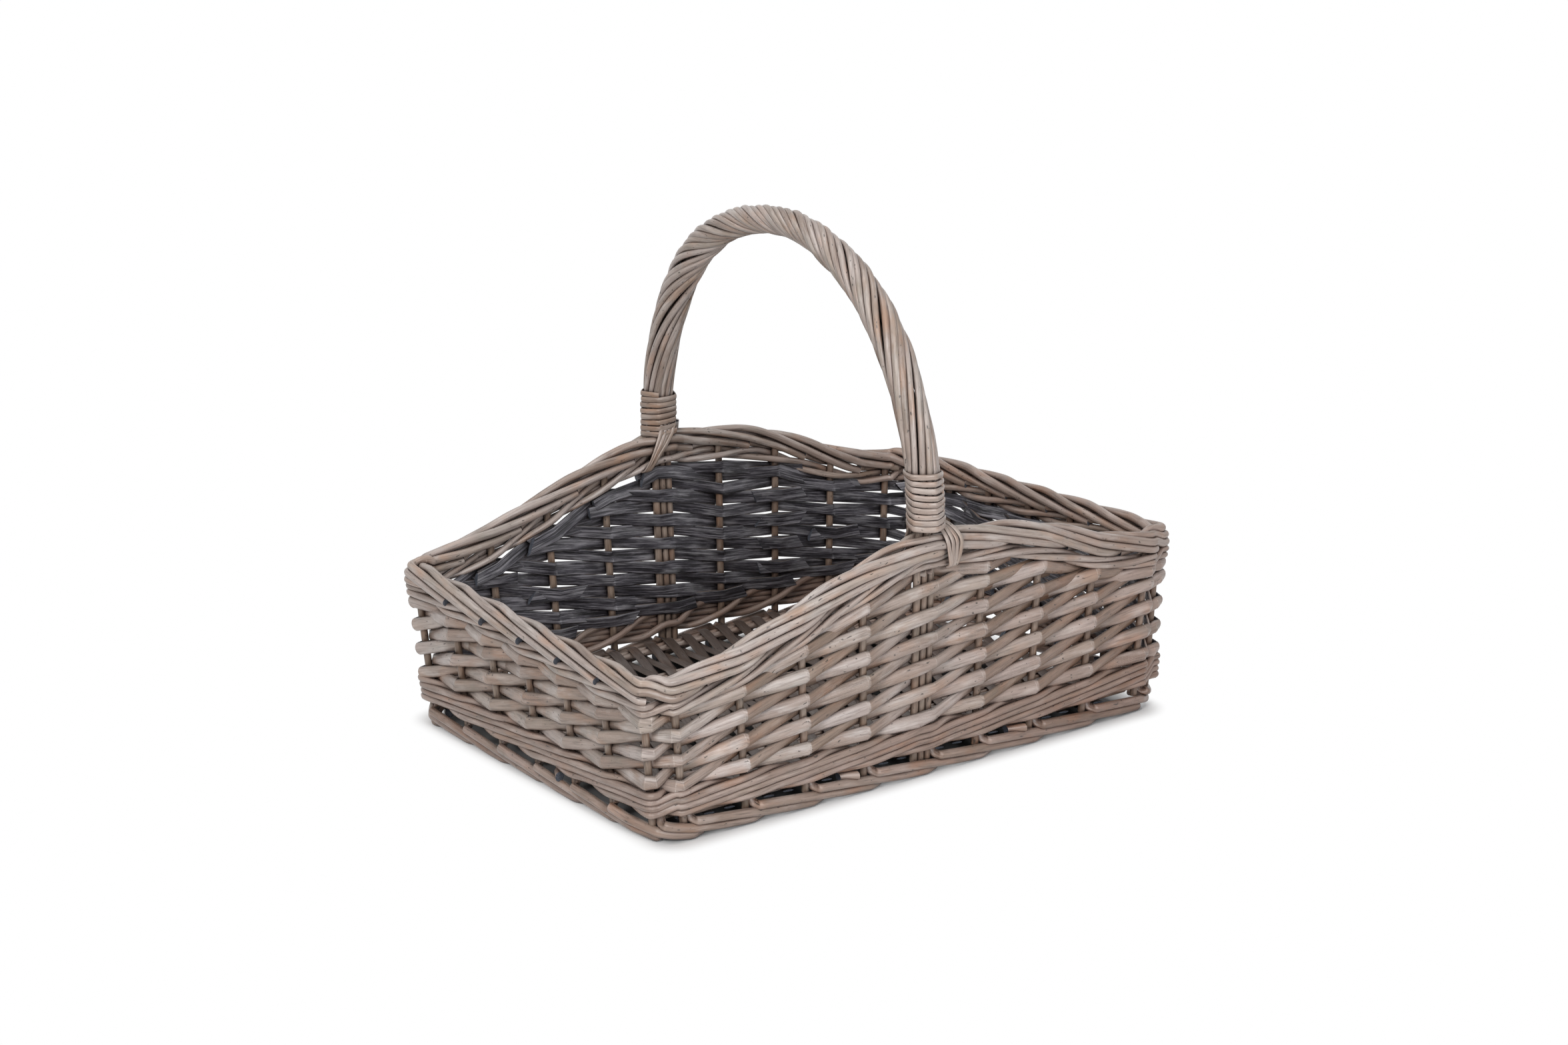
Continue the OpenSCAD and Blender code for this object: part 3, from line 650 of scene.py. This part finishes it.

# %% [markdown]
# The white sheet is a pale floor to the light, but painted dark under the basket and close
# round its foot, a painted shadow. What the camera sees of it fades to pure white within a
# hand's breadth of the basket, so the real and the painted shadow stay close to the foot and the sheet has no
# edge.

# %% White sheet
FOOT_HALVES = (0.196, 0.140)  # of its length and width, in metres
sheet, n = finish("white sheet")
away = [n.math("MAXIMUM", n.math("SUBTRACT", n.math("ABSOLUTE", object_xyz(n)[k]), half), 0.0)
        for k, half in enumerate(FOOT_HALVES)]
far = n.math("SQRT", n.math("ADD", *(n.product(a, a) for a in away)))
fade = n.add("MapRange", {"Value": far, "From Min": 0.010, "From Max": 0.030},
             interpolation_type="SMOOTHSTEP")
white = n.add("Emission", {"Strength": 1.0})
# painted shadow: the sheet's colour goes from pale to nearly black under the basket and up to 12 mm round its
# foot
shade = ramp(n, part_of(n, far, 0.0, 0.012), [(0.0, (0.12, 0.12, 0.12)), (1.0, (0.85, 0.85, 0.85))])
cloth = n.add("BsdfDiffuse", {"Color": shade})
seen = n.product(fade, seen_rays(n))
n.add("OutputMaterial", {
    "Surface": n.add("MixShader", {0: seen, 1: cloth, 2: white})})
floor_mesh.materials.append(sheet)
print("sheet nodes:", len(n.tree.nodes))

# %% [markdown]
# ## The woven wall
# Every weaver is half of a split rod. It starts inside a stake, goes in front of one
# and behind the next, and climbs one row at each, so all of them lie side by side
# as in a twill. Where the rim is too low for the next row, the weaver is squeezed in
# under the wale once more and then ends behind it.

# %% Rows of the weave
IN_LIFT, CORNER_DIP = 0.6, 3.5
ROW_FIRST = ROW + 1.4

def row_z(i, row):
    z = WALL_BOTTOM + ROW_FIRST - (CORNER_DIP if is_turn(i) else 0) + row * ROW - WEAVER_W / 2
    return max(WALL_BOTTOM + WEAVER_W / 2 - 1.8, z + (0 if row % 2 == 0 else IN_LIFT))

def room(i, row):
    """Free height over row at stake i."""
    return wall_top(i) - 0.5 - WEAVER_W / 2 - row_z(i, row)

def fits(first, row):
    return row >= -1 and room(first + row, row) >= 0

def laid_z(i, row):
    """Height of a row as it lies, with the rows spread so that the highest touches the wale."""
    top = row
    while room(i, top + 1) >= 0:
        top += 1
    while top > 0 and room(i, top) < 0:
        top -= 1
    spread = (wall_top(i) - 0.3 - WEAVER_W / 2 - WALL_BOTTOM) / (row_z(i, top) - WALL_BOTTOM)
    return WALL_BOTTOM + (row_z(i, row) - WALL_BOTTOM) * min(1.16, max(1, spread))

def depth_of(row):
    return WEAVE_OUT if row % 2 == 0 else -WEAVE_OUT

print("rows at the handle:", sum(fits(BOWS[0] - row, row) for row in range(20)))

# %% One weaver
CUT = -1.0  # in place of wear: the rod ends here in a slanted cut

def weaver_pass(i, row, z, chance):
    """A weaver at stake i, as (stake number, depth, height, girth, wear and lit side)."""
    d, out_here = depth_of(row), row % 2 == 0
    z += chance.uniform(-0.6, 0.6)
    d *= 1 + chance.uniform(-0.04, 0.04)
    girth = (1.06 if out_here else 1.01) * (1 + chance.uniform(-0.03, 0.03))
    # the last value is wear, and 1 in front of a stake: the split finish paints the stretch leading there
    # paler, as painted light
    if is_bow(i):
        return [(i - group(i), d * 0.96, z - 1.2, girth, 0.4),
                (i + group(i), d * 1.06, z + 0.8, girth, float(out_here))]
    if is_turn(i) or is_turn(i + 1):
        girth *= 0.92
    return [(*q, girth, float(out_here)) for q in passing(i, d, z)]

def under_wale(first, row, after, chance):
    """The end of a weaver that has no room for the row after."""
    way, i = (1 if after > row else -1), first + after
    free, z = room(i, after - 1) >= -0.5, wall_top(i) - 0.3 - WEAVER_W / 2
    past = way * chance.uniform(0.24, 0.36)
    if after % 2:
        d, z = depth_of(after) if free else -(WEAVE_OUT + WEAVER_T + 0.3), min(z, laid_z(i, after))
        lift = max(-4, min(4, wall_top(i + past) - wall_top(i)))
        return [(*q, 1.0, 0.0) for q in passing(i, d, z)] + [(i + past, d, z + lift, 1.0, CUT)]
    if free:
        tip = (i + 0.45 * way, -1.5, z - (2.5 if way < 0 else 0), 0.8, CUT)
        return weaver_pass(i, after, z, chance) + [tip]
    t = first + row + past
    return [(t, depth_of(row), min(laid_z(first + row, row), wall_top(t) - 0.5 - WEAVER_W / 2), 1.0, CUT)]

def weaver(number, first, a, b):
    """The weaver that would be at the lowest row at stake first, from row a to row b."""
    chance = random.Random(number)
    if a > -1:
        start = sorted(under_wale(first, a, a - 1, chance))
    else:
        t = first - 1 - chance.uniform(0.2, 0.34) - (0.12 if is_bow(first - 1) else 0)
        start = [(t, depth_of(-1), laid_z(first - 1, -1), 1.0, CUT)]
    middle = [q for row in range(a, b + 1)
              for q in weaver_pass(first + row, row, laid_z(first + row, row), chance)]
    end = sorted(under_wale(first, b, b + 1, chance))
    thick = chance.uniform(0.93, 1.07)
    return [(t, d, z, girth * thick, wear_and_lit_side) for t, d, z, girth, wear_and_lit_side in start + middle + end]

def joined(path, chance):
    """A rod that is too short ends inside a stake, and the next is laid over its end there."""
    single = [k for k in range(3, len(path) - 3)
              if path[k][1] < -2 and min(path[k - 1][1], path[k + 1][1]) > 2]
    if not single or chance.random() > 0.6:
        return [path]
    k = chance.choice(single)
    t, d, z, girth, wear_and_lit_side = path[k]
    over = d - WEAVER_T - 0.2
    start = [(t - chance.uniform(0.28, 0.42), over, z - 1.2, 1.0, CUT), (t, over, z - 0.3, girth, wear_and_lit_side)]
    end = (t + chance.uniform(0.22, 0.4), d, z + 1.4, 1.0, CUT)
    return [path[:k + 1] + [end], start + path[k + 1:]]

def weavers():
    made = []
    for first in range(STAKES):
        for row in range(-1, 20):
            if fits(first, row) and not fits(first, row - 1):
                last = row
                while fits(first, last + 1):
                    last += 1
                made.append(weaver(len(made), first, row, last))
    return made

woven = weavers()
woven = [rod for number, path in enumerate(woven) for rod in joined(path, random.Random(300 + number))]
print("weavers:", len(woven))

# %% [markdown]
# A rod may run round a corner, but the wall is kept in four sides. Each rod is laid in
# space first, and then cut at the middle of the corner, so that the two parts meet.

# %% From wall coordinates to space
WALL_L = [0.0]
for i in range(STAKES):
    WALL_L.append(WALL_L[-1] + gap_l(i))

def wall_way(t):
    """Metres of wall from stake 0 to stake number t."""
    i = math.floor(t)
    return (i // STAKES * WALL_L[STAKES] + WALL_L[i % STAKES] + (t - i) * gap_l(t)) / 1000

ROLL_OVER = 0.28

def rolled(path):
    """A split weaver leans up where it comes out of the wall and down where it goes in."""
    made = []
    for k, (t, d, z, girth, wear_and_lit_side) in enumerate(path):
        before = d - path[k - 1][1] if k else 0
        after = path[k + 1][1] - d if k + 1 < len(path) else 0
        before, after = [math.copysign(ROLL_OVER, step) if abs(step) > 1 else 0 for step in (before, after)]
        if before and after:
            made += [(t - 0.02, d, z, girth, wear_and_lit_side, before), (t + 0.02, d, z, girth, 0.0, after)]
        else:
            made.append((t, d, z, girth, wear_and_lit_side, before or after))
    return made

def in_space(path):
    """The path in wall coordinates as (place, facing, girth, wear and lit side, stake number)."""
    return [(place(t, d, z), facing(t, z) + Vector((0, 0, (*lean, 0)[0])), girth, wear_and_lit_side, t)
            for t, d, z, girth, wear_and_lit_side, *lean in path]

def on_side(rows, span):
    """The parts of rows of (place, facing, girth, wear and lit side, stake number) on one side."""
    lo, hi = span
    made = []
    for number, row in rows:
        for lap in (-STAKES, 0, STAKES):
            part = []
            for k, q in enumerate(row):
                p = row[k - 1] if k else q
                before, here = p[4] + lap, q[4] + lap
                for edge in (lo, hi):
                    if before < edge < here:
                        f = (edge - before) / (here - before)
                        part.append(tuple(lerp(a, b, f) for a, b in zip(p, q)))
                if lo <= here <= hi:
                    part.append(q)
            if len(part) > 1 and part[-1][4] - part[0][4] > 0.03:
                made.append((number, [(*q[:4], wall_way(q[4])) for q in part]))
    return made

print("wall length in m:", round(wall_way(STAKES), 3))

# %% Weavers on all four sides
LAID_W, LAID_T = 9.5, 3.7  # pressed flat, a little wider than the row
woven_rows = [(number + 0.5, stepped(rounded(in_space(rolled(path)), 1.0, 4), 2.5))
              for number, path in enumerate(woven)]
for side, span in SIDES.items():
    laid("weavers " + side, on_side(woven_rows, span), "weave_" + side, split,
         LAID_W, LAID_T, 1.0, 16, 0.0004, 3)

# %% [markdown]
# ## Wales
# A wale is a round of rods laid together: each comes out under the others, rises in
# front of some stakes and goes in again over the top. Five rods lie below the wall,
# where four show in front at every stake, and three lie above it.

# %% Wale rods
def wale_at(rods, step):
    """Depth and height in rod pitches of a wale rod, by half gaps."""
    k = step % (2 * rods)
    if k == 0:
        return -WALE_OUT, (rods - 1) / 2
    if k in (1, 2 * rods - 1):
        return 0, 0.45 if k == 1 else rods - 1.45
    return WALE_OUT, (k - 1) / 2

def wale_rod(m, rods, low, rise):
    """Wale rod m of rods, from height low (below the rim if it is negative), once round."""
    seam = -N_END - 0.5
    rod = []
    for k in range(2 * STAKES + 1):
        t = seam + k / 2
        d, h = wale_at(rods, int(2 * (t + m)))
        z = (below(t, -low) if low < 0 else low) + h * WALE_PITCH * rise(t)
        rod += passing(int(t), d, z) if t == math.floor(t) else [(t, d, z)]
    return rod

def round_rods(title, rods, node, diameter, smoothing, seed, sides=12, wobble=0.00035, skin=bark):
    """Rods of one thickness on all four sides, each a little uneven."""
    rows = []
    for number, rod in enumerate(rods):
        chance = random.Random(seed * 100 + number)
        thick, phase = chance.uniform(0.90, 1.05), chance.uniform(0, 6)
        path = [(t, d, z, thick * (1 + 0.05 * sin(t * 0.9 + phase)), 0.0) for t, d, z in rod]
        rows.append((number + seed * 10.25, smoothing(in_space(path))))
    for side, span in SIDES.items():
        laid(title + " " + side, on_side(rows, span), node + "_" + side, skin,
             diameter, diameter, 0.0, sides, wobble, seed)

def bent(points):
    return flowing(points, 2.2)

def creased(reach):
    return lambda points: stepped(rounded(points, reach), 2.5)

def wale_tip(t):
    """The cut end of a wale rod that stops between the bow's rods, under the wale."""
    top = wall_top(t)
    return [(t - 0.09, -3.0, top + 2), (t - 0.03, 0.5, top - 1.2), (t, 4.6, top - 1.8)]

round_rods("lower wale", [wale_rod(m, LOWER_RODS, FOOT_H, lambda t: 1) for m in range(LOWER_RODS)],
           "lower_wale", WALE_D + 0.9, bent, 11, 12, 0.0009, earthy)
round_rods("upper wale", [wale_rod(m, UPPER_RODS, -BORDER_H - UPPER_H, steep) for m in range(UPPER_RODS)]
           + [wale_tip(BOWS[0] + at) for at in (-0.055, 0.055)],
           "upper_wale", WALE_D + 0.6, bent, 17, 12, 0.0006)

# %% [markdown]
# ## Rolled border and foot
# The stakes end in the border. Each stands up at its place, turns down over the rim
# and sinks a place behind every new one, until its tip is tucked in below. On the left
# end the tips stay outside and show their dark cuts. The foot border is the same idea
# upside down, with a square crank beside each stake.

# %% Border rods
BOW_SPREAD = 3.2  # how far the border rods stand apart at the bow's rods

def slot(i, at):
    """Depth and height of border rod i in slot at, the places it sinks through."""
    d, drop = SLOTS[at]
    t = i + at
    return d + (0 if not is_bow(t) else -BOW_SPREAD if at == 0 else BOW_SPREAD), below(t, drop)

def border_point(t, d, drop):
    """A point of a border rod, a little further from the wall where the bow goes through."""
    near = BOW_SPREAD if is_bow(round(t)) and abs(t - round(t)) < 0.2 else 0
    return t, d + math.copysign(near, d), below(t, drop)

def border_rod(i):
    """Up inside two stakes, over the rim, and down through the slots to the tip."""
    rod = [border_point(i - 1.5, -1.0, 15.0), border_point(i - 1.25, -2.6, 13.6)]
    for t, d, drop in ((i - 1, -3.4, 12), (i, -3.8, 5.4)):
        rod += passing(t, *border_point(t, d, drop)[1:])
        if t < i:
            rod.append(border_point(i - 0.5, -3.9, 8.9))
    rod += [border_point(i + 0.36, -2.2, 2.7), border_point(i + 0.62, 0.5, 2.5)]
    for at in (1, 2, 3):
        rod += passing(i + at, *slot(i, at))
    t, (d, drop) = i + 3.3, SLOTS[3]
    if SIDES["left"][0] + 0.6 < i + 3 < SIDES["left"][1]:
        return rod[:-1] + [(t - 0.24, d + 0.2, below(t, drop + 1.2))]
    if i == 0:
        return rod + [(t + 0.62, d + 1.2, below(t + 0.62, drop - 0.6))]
    return rod + [(t, d - 2.4, below(t, drop - 0.4)), (t + 0.2, -1.0, below(t + 0.2, drop - 1))]

round_rods("border", [border_rod(i) for i in range(STAKES)], "border", BORDER_D + 0.7,
           creased(7.0), 23, 14)

# %% Foot rods
def foot_rod(i):
    """Down beside stake i, cranked out, and round below three stakes."""
    g = (STAKE_D + 0.4) / gap_l(i) + (GROUP_W / gap_l(i) if is_bow(i) else 0)
    high, mid, low, run = 13.3, 8.5, 3.5, FOOT_D * 0.8
    return [(i + g - 0.05, -2.0, FOOT_H - 1), (i + g - 0.02, 0.5, high + 0.8), (i + g, run + 2.2, high + 0.2),
            (i + 0.55, run + 1.9, 11.6), (i + 1.08, run + 0.6, mid), (i + 1.6, run, 5.5),
            (i + 2.08, run - 1.2, low), (i + 2.3, run - FOOT_D - 0.4, low)]

def foot_stub(i):
    """The cut end of a rod that shows over the foot."""
    return [(i - 0.44, 0.5, 14.8), (i - 0.3, 4.0, 15.4), (i - 0.2, 6.6, 15.6)]

round_rods("foot", [foot_rod(i) for i in range(STAKES)] + [foot_stub(i) for i in (3, 6, STAKES - 3)],
           "foot", FOOT_D + 0.9, creased(3.0), 31, 14, 0.0005, earthy)

# %% [markdown]
# ## Stakes and base
# The stakes are plain rods, seen between the weavers. The base is a mat of sticks in
# pairs, crossed by flat slats that run over one pair and under the next.

# %% Stakes
for side, span in SIDES.items():
    rows = []
    for i in range(math.ceil(span[0]), math.floor(span[1]) + 1):
        if not is_bow(i):
            a = place(i, 0, BOW_BOTTOM)
            b = place(i, 0, below(i, BORDER_H - 3.5))
            rows.append((i + 400.5, measured(stepped([(a, facing(i, 0), 1.0), (b, facing(i, 0), 0.96)], 4))))
    laid("stakes " + side, rows, "side_stakes_" + side, shaded_stake_bark,
         STAKE_D, STAKE_D, 0, 14, 0.0002, 5)

# %% Base sticks
BASE_Z = FOOT_H - STICK_D / 2 - SLAT_T - 0.3
STICK_ROWS = 6
UPWARD = Vector((0, 0, 1))

def row_y(j):
    return lerp(-1, 1, j / (STICK_ROWS - 1)) * (half_w(0) - ROD_R - STICK_D - 1)

def stick_end(y):
    cut_off = (abs(y) + STICK_D / 2 - half_w(0) + CORNER_W) * CORNER_L / CORNER_W
    return half_l(0) - max(ROD_R + 1.2, cut_off + ROD_R + 2)

rows = []
for j in range(STICK_ROWS):
    for k in (-1, 1):
        y = row_y(j) + k * (STICK_D + 0.2) / 2
        e = stick_end(y)
        rows.append((500 + 2 * j + k, measured(stepped([(Vector((-e, y, BASE_Z)), UPWARD, 1.0),
                (Vector((e, y, BASE_Z)), UPWARD, 0.95)], 6))))
laid("base sticks", rows, "base_sticks", skein, STICK_D, STICK_D, 0, 14, 0.0002, 7)

# %% Base slats
SLAT_UP = STICK_D / 2 + SLAT_T / 2 + SEAT
SLAT_REACH = half_w(0) - ROD_R - 0.5
LEAN = math.tan(radians(SLAT_SLANT))

def slat_side(j, first):
    return SLAT_UP if (j + first) % 2 == 0 else -SLAT_UP

def slat_span(x):
    """From where to where in y a slat runs that crosses the middle at x."""
    lim = half_l(0) - CORNER_L - SLAT_W / 2
    return max(-SLAT_REACH, (-lim - x) / LEAN), min(SLAT_REACH, (lim - x) / LEAN)

def slat_z(y, first):
    """A slat lies flat over a pair of sticks and slopes to its place at the next pair."""
    step = row_y(1) - row_y(0)
    j = max(0, min(STICK_ROWS - 1, round((y - row_y(0)) / step)))
    d = y - row_y(j)
    after = max(0, min(STICK_ROWS - 1, j + (1 if d > 0 else -1)))
    f = min(1, max(0, (abs(d) - STICK_D) / (step - 2 * STICK_D)))
    return lerp(slat_side(j, first), slat_side(after, first), f)

pitch = (SLAT_W + SLAT_GAP) / cos(radians(SLAT_SLANT))
count = math.floor(half_l(0) / pitch)
rows = []
for k in range(-count, count + 1):
    x, first = k * pitch, (k + count) % 2
    lo, hi = slat_span(x)
    if hi - lo > 4 * STICK_D:
        ys = [lo] + [y for j in range(STICK_ROWS) for y in (row_y(j) - STICK_D, row_y(j) + STICK_D)
                     if lo + 0.5 < y < hi - 0.5] + [hi]
        row = [(Vector((x + y * LEAN, y, BASE_Z + slat_z(y, first))), UPWARD, 1.0) for y in ys]
        rows.append((600 + k, measured(flowing(row, 3))))
laid("base slats", rows, "base_slats", slat_bark, SLAT_W + 0.8, SLAT_T, 0, 12, 0.0002, 9)

# %% [markdown]
# ## Handle
# Three thick rods make the bow. They run down through both walls as stakes, and twelve
# thinner rods are roped round them. A flat skein binds each foot of the handle, and
# eight short ones tie it down, four over each face of the border.

# %% Centre line of the handle
ROPE_IN = 1.155 * STAKE_D + SEAT
ROPE_R, ROPE_OUT = ROPE_IN + ROPE_D / 2, ROPE_IN + ROPE_D
BINDING_Z = CROWN_H + 2
ROPE_Z = BINDING_Z + 5
LEG_Y = half_w(CROWN_H) + SIDE_BOW
ARCH_R = LEG_Y + 2
ARCH_Z = HANDLE_H - ARCH_R - ROPE_OUT
LEAN_IN = 0.034  # how much narrower the arch is than a half circle, half way up
NEST_OUT, NEST_IN = 0.578, 0.289  # three round rods laid together, in diameters

def arch_length(z):
    return 2 * (ARCH_Z - z) + pi * ARCH_R

def arch(s, z, grow=0.0):
    """Point of the handle's centre line at length s from the front foot at height z."""
    a = (s - ARCH_Z + z) / ARCH_R
    if a < 0:
        y, up = -(ARCH_R + grow), z + s
    elif a > pi:
        y, up = ARCH_R + grow, ARCH_Z - (a - pi) * ARCH_R
    else:
        y, up = -(ARCH_R + grow) * cos(a), ARCH_Z + (ARCH_R + grow) * sin(a)
    share = min(1, max(0, (up - CROWN_H) / (HANDLE_H - CROWN_H)))
    return Vector((0, y * (1 - LEAN_IN * sin(pi * share) ** 2), up))

def arch_out(s, z):
    a = min(pi, max(0, (s - ARCH_Z + z) / ARCH_R))
    return Vector((0, -cos(a), sin(a)))

SIDEWAYS = Vector((1, 0, 0))
rows = []
for j in (-1, 0, 1):
    x, grow = j * STAKE_D / 2, STAKE_D * NEST_OUT if j == 0 else -STAKE_D * NEST_IN
    foot_y = half_w(BOW_BOTTOM) + SIDE_BOW
    feet = [(j * GROUP_W, foot_y, BOW_BOTTOM), (j * GROUP_W, LEG_Y, CROWN_H - BORDER_H)]
    line = [Vector((q[0], -q[1], q[2])) for q in feet]
    line += [Vector((x, 0, 0)) + arch(arch_length(ROPE_Z) * k / 60, ROPE_Z, grow) for k in range(61)]
    line += [Vector(q) for q in reversed(feet)]
    rows.append((700 + j, measured(stepped([(p, SIDEWAYS, 1.0) for p in line], 4))))
laid("handle bow", rows, "handle_bow", shaded_stake_bark, STAKE_D, STAKE_D, 0, 14, 0.0001, 13)

# %% Roped rods
STEPS = 240
SLOW_FEET = 0.72  # how much slower the rods turn at the feet than on average
PEGS = ((10.2, -2.5, 47), (8.0, -7.5, 42))  # rod ends beside the front foot: across, out, height
rows = []
for j in range(ROPE_RODS):
    chance = random.Random(60 + j)
    phase, thick = chance.uniform(0, 6), chance.uniform(0.84, 1.1)
    row = []
    for k in range(STEPS + 1):
        u = k / STEPS
        s = u * arch_length(ROPE_Z)
        even = u - SLOW_FEET * sin(2 * pi * u) / (2 * pi)
        a = 2 * pi * (j / ROPE_RODS + ROPE_TURNS * even)
        a += 0.08 * sin(7 * u + phase)
        away = cos(a) * arch_out(s, ROPE_Z) + sin(a) * SIDEWAYS
        legs, top = sin(2 * pi * u) ** 2, sin(pi * u) ** 4
        rise = 0.6 * sin(11 * u + 2 * phase) + 1.2 * legs - 0.8 * top
        swell = 1 + 0.08 * legs - 0.03 * top + 0.06 * sin(9 * u + phase)
        row.append((arch(s, ROPE_Z) + (ROPE_R + rise) * away, away, thick * swell))
    rows.append((800 + j, measured(row)))
for j, (x, y, top) in enumerate(PEGS):
    peg = [(arch(s, BINDING_Z) + Vector((x, y, 0)), SIDEWAYS, 0.72) for s in range(12, top, 5)]
    rows.append((830 + j, measured(peg)))
laid("roped rods", rows, "handle_rope", bark, ROPE_D + 0.55, ROPE_D + 0.3, 0, 14, 0.0002, 15)

# %% [markdown]
# A binding is one flat skein, wound tight. It is wet when it is wound, so it takes the
# corners of the rods under it: each turn is a little square, and no two lie quite alike.

# %% Bindings
SKEIN_W, SKEIN_T, SKEIN_GAP = 3.5, 1.2, 0.8
WOUND = {"front": (-1, 0, 8.7), "back": (1, -6.5, 7.6)}  # side, height over BINDING_Z, turns
BINDING_R = (ROPE_OUT + SEAT) / cos(pi / 12) + SKEIN_T / 2 + 0.6
CORNERS = 5

def squared(a, turned):
    """Radius of the binding at angle a, as a share of its mean: round with dull corners."""
    part = 2 * pi / CORNERS
    off = (a - turned) % part - part / 2
    return lerp(1.0, cos(part / 2) / cos(off) * 1.12, 0.55)

for name, (side, higher, turns) in WOUND.items():
    row = []
    for k in range(int(60 * turns) + 1):
        a = 2 * pi * k / 60 + radians(20)
        turn = k / 60
        s = SKEIN_W / 2 + turn * (SKEIN_W + SKEIN_GAP)
        s += 0.35 * sin(a + 0.7 * turn) + 0.3 * sin(2 * a)
        centre, outward = arch(s + higher, BINDING_Z), arch_out(s + higher, BINDING_Z)
        away = Vector((cos(a), -side * sin(a) * outward.y, sin(a) * outward.z))
        r = BINDING_R * squared(a, 0.35 + 0.05 * sin(2.1 * turn)) + 0.2 * sin(1.7 * turn)
        middle = Vector((0, -side * centre.y, centre.z))
        row.append((middle + r * away, away, 1 + 0.06 * sin(2.3 * turn)))
    laid("binding " + name, [(900 + side, measured(row))], "handle_binding_" + name, skein,
         SKEIN_W + 0.5, SKEIN_T + 0.3, 0, 12, 0.0002, 19)

# %% Ties
TIE_OUT = SLOTS[3][0] + BORDER_R + BOW_SPREAD * 0.8 + SKEIN_T / 2
TIE_IN = BORDER_D + BOW_SPREAD * 0.8 + SKEIN_T / 2

def tie_over(k):
    """From the foot of the binding over the border, fanned, and gathered again below it."""
    top, out_x, low_x, lift = 8.5 + k * 2.2, 11 + k * 4, 14.5 + k * 1.7, 0.4 + 0.5 * (k % 2)
    drop = rim(BOWS[0] + out_x / gap_l(BOWS[0])) - CROWN_H
    return [(top - 3, -4, 6), (top, 0, 4.5 + lift),
            (lerp(top, out_x, 0.6), TIE_OUT - 5, 0.8 + lift + drop * 0.5),
            (out_x, TIE_OUT + lift * 0.4, -5 + drop),
            (lerp(out_x, low_x, 0.45), TIE_OUT + lift * 0.5, -14 + drop),
            (low_x, TIE_OUT - 0.6, -BORDER_H - 7), (low_x - 0.5, TIE_OUT - 4, -BORDER_H - 9)]

def tie_inside(k):
    """From the foot of the binding down the inner face of the border, drawn together."""
    top, low_x, lift = -4.5 + k * 3.4, -9 + k * 1.5, 0.3 + 0.3 * (k % 2)
    return [(top, -9, 5), (top - 0.5, -TIE_IN - 1.2 - lift, 0),
            (lerp(top, low_x, 0.5), -TIE_IN - 2.4 - lift, -8),
            (low_x + 1, -TIE_IN - 1.8 - lift, -16), (low_x, -TIE_IN + 1, -23), (low_x, -TIE_IN + 4, -24)]

for side, name in ((-1, "front"), (1, "back")):
    rows = []
    for k in range(8):
        path = tie_over(k) if k < 4 else tie_inside(k - 4)
        if side > 0 and k > 3:  # the back ones are drawn to the left
            path = [(x - 0.35 * max(0, 4 - z), y, z * 1.15) for x, y, z in path]
        row = [(Vector((x, side * (LEG_Y + y), CROWN_H + z)),
                Vector((0, side * y, z + 9)).normalized(), 1.0) for x, y, z in path]
        rows.append((950 + k + 10 * side, measured(stepped(rounded(row, 4, 5), 2))))
    laid("tie " + name, rows, "handle_tie_" + name, skein,
         SKEIN_W - 0.3, SKEIN_T + 0.5, 0, 12, 0.0001, 21)
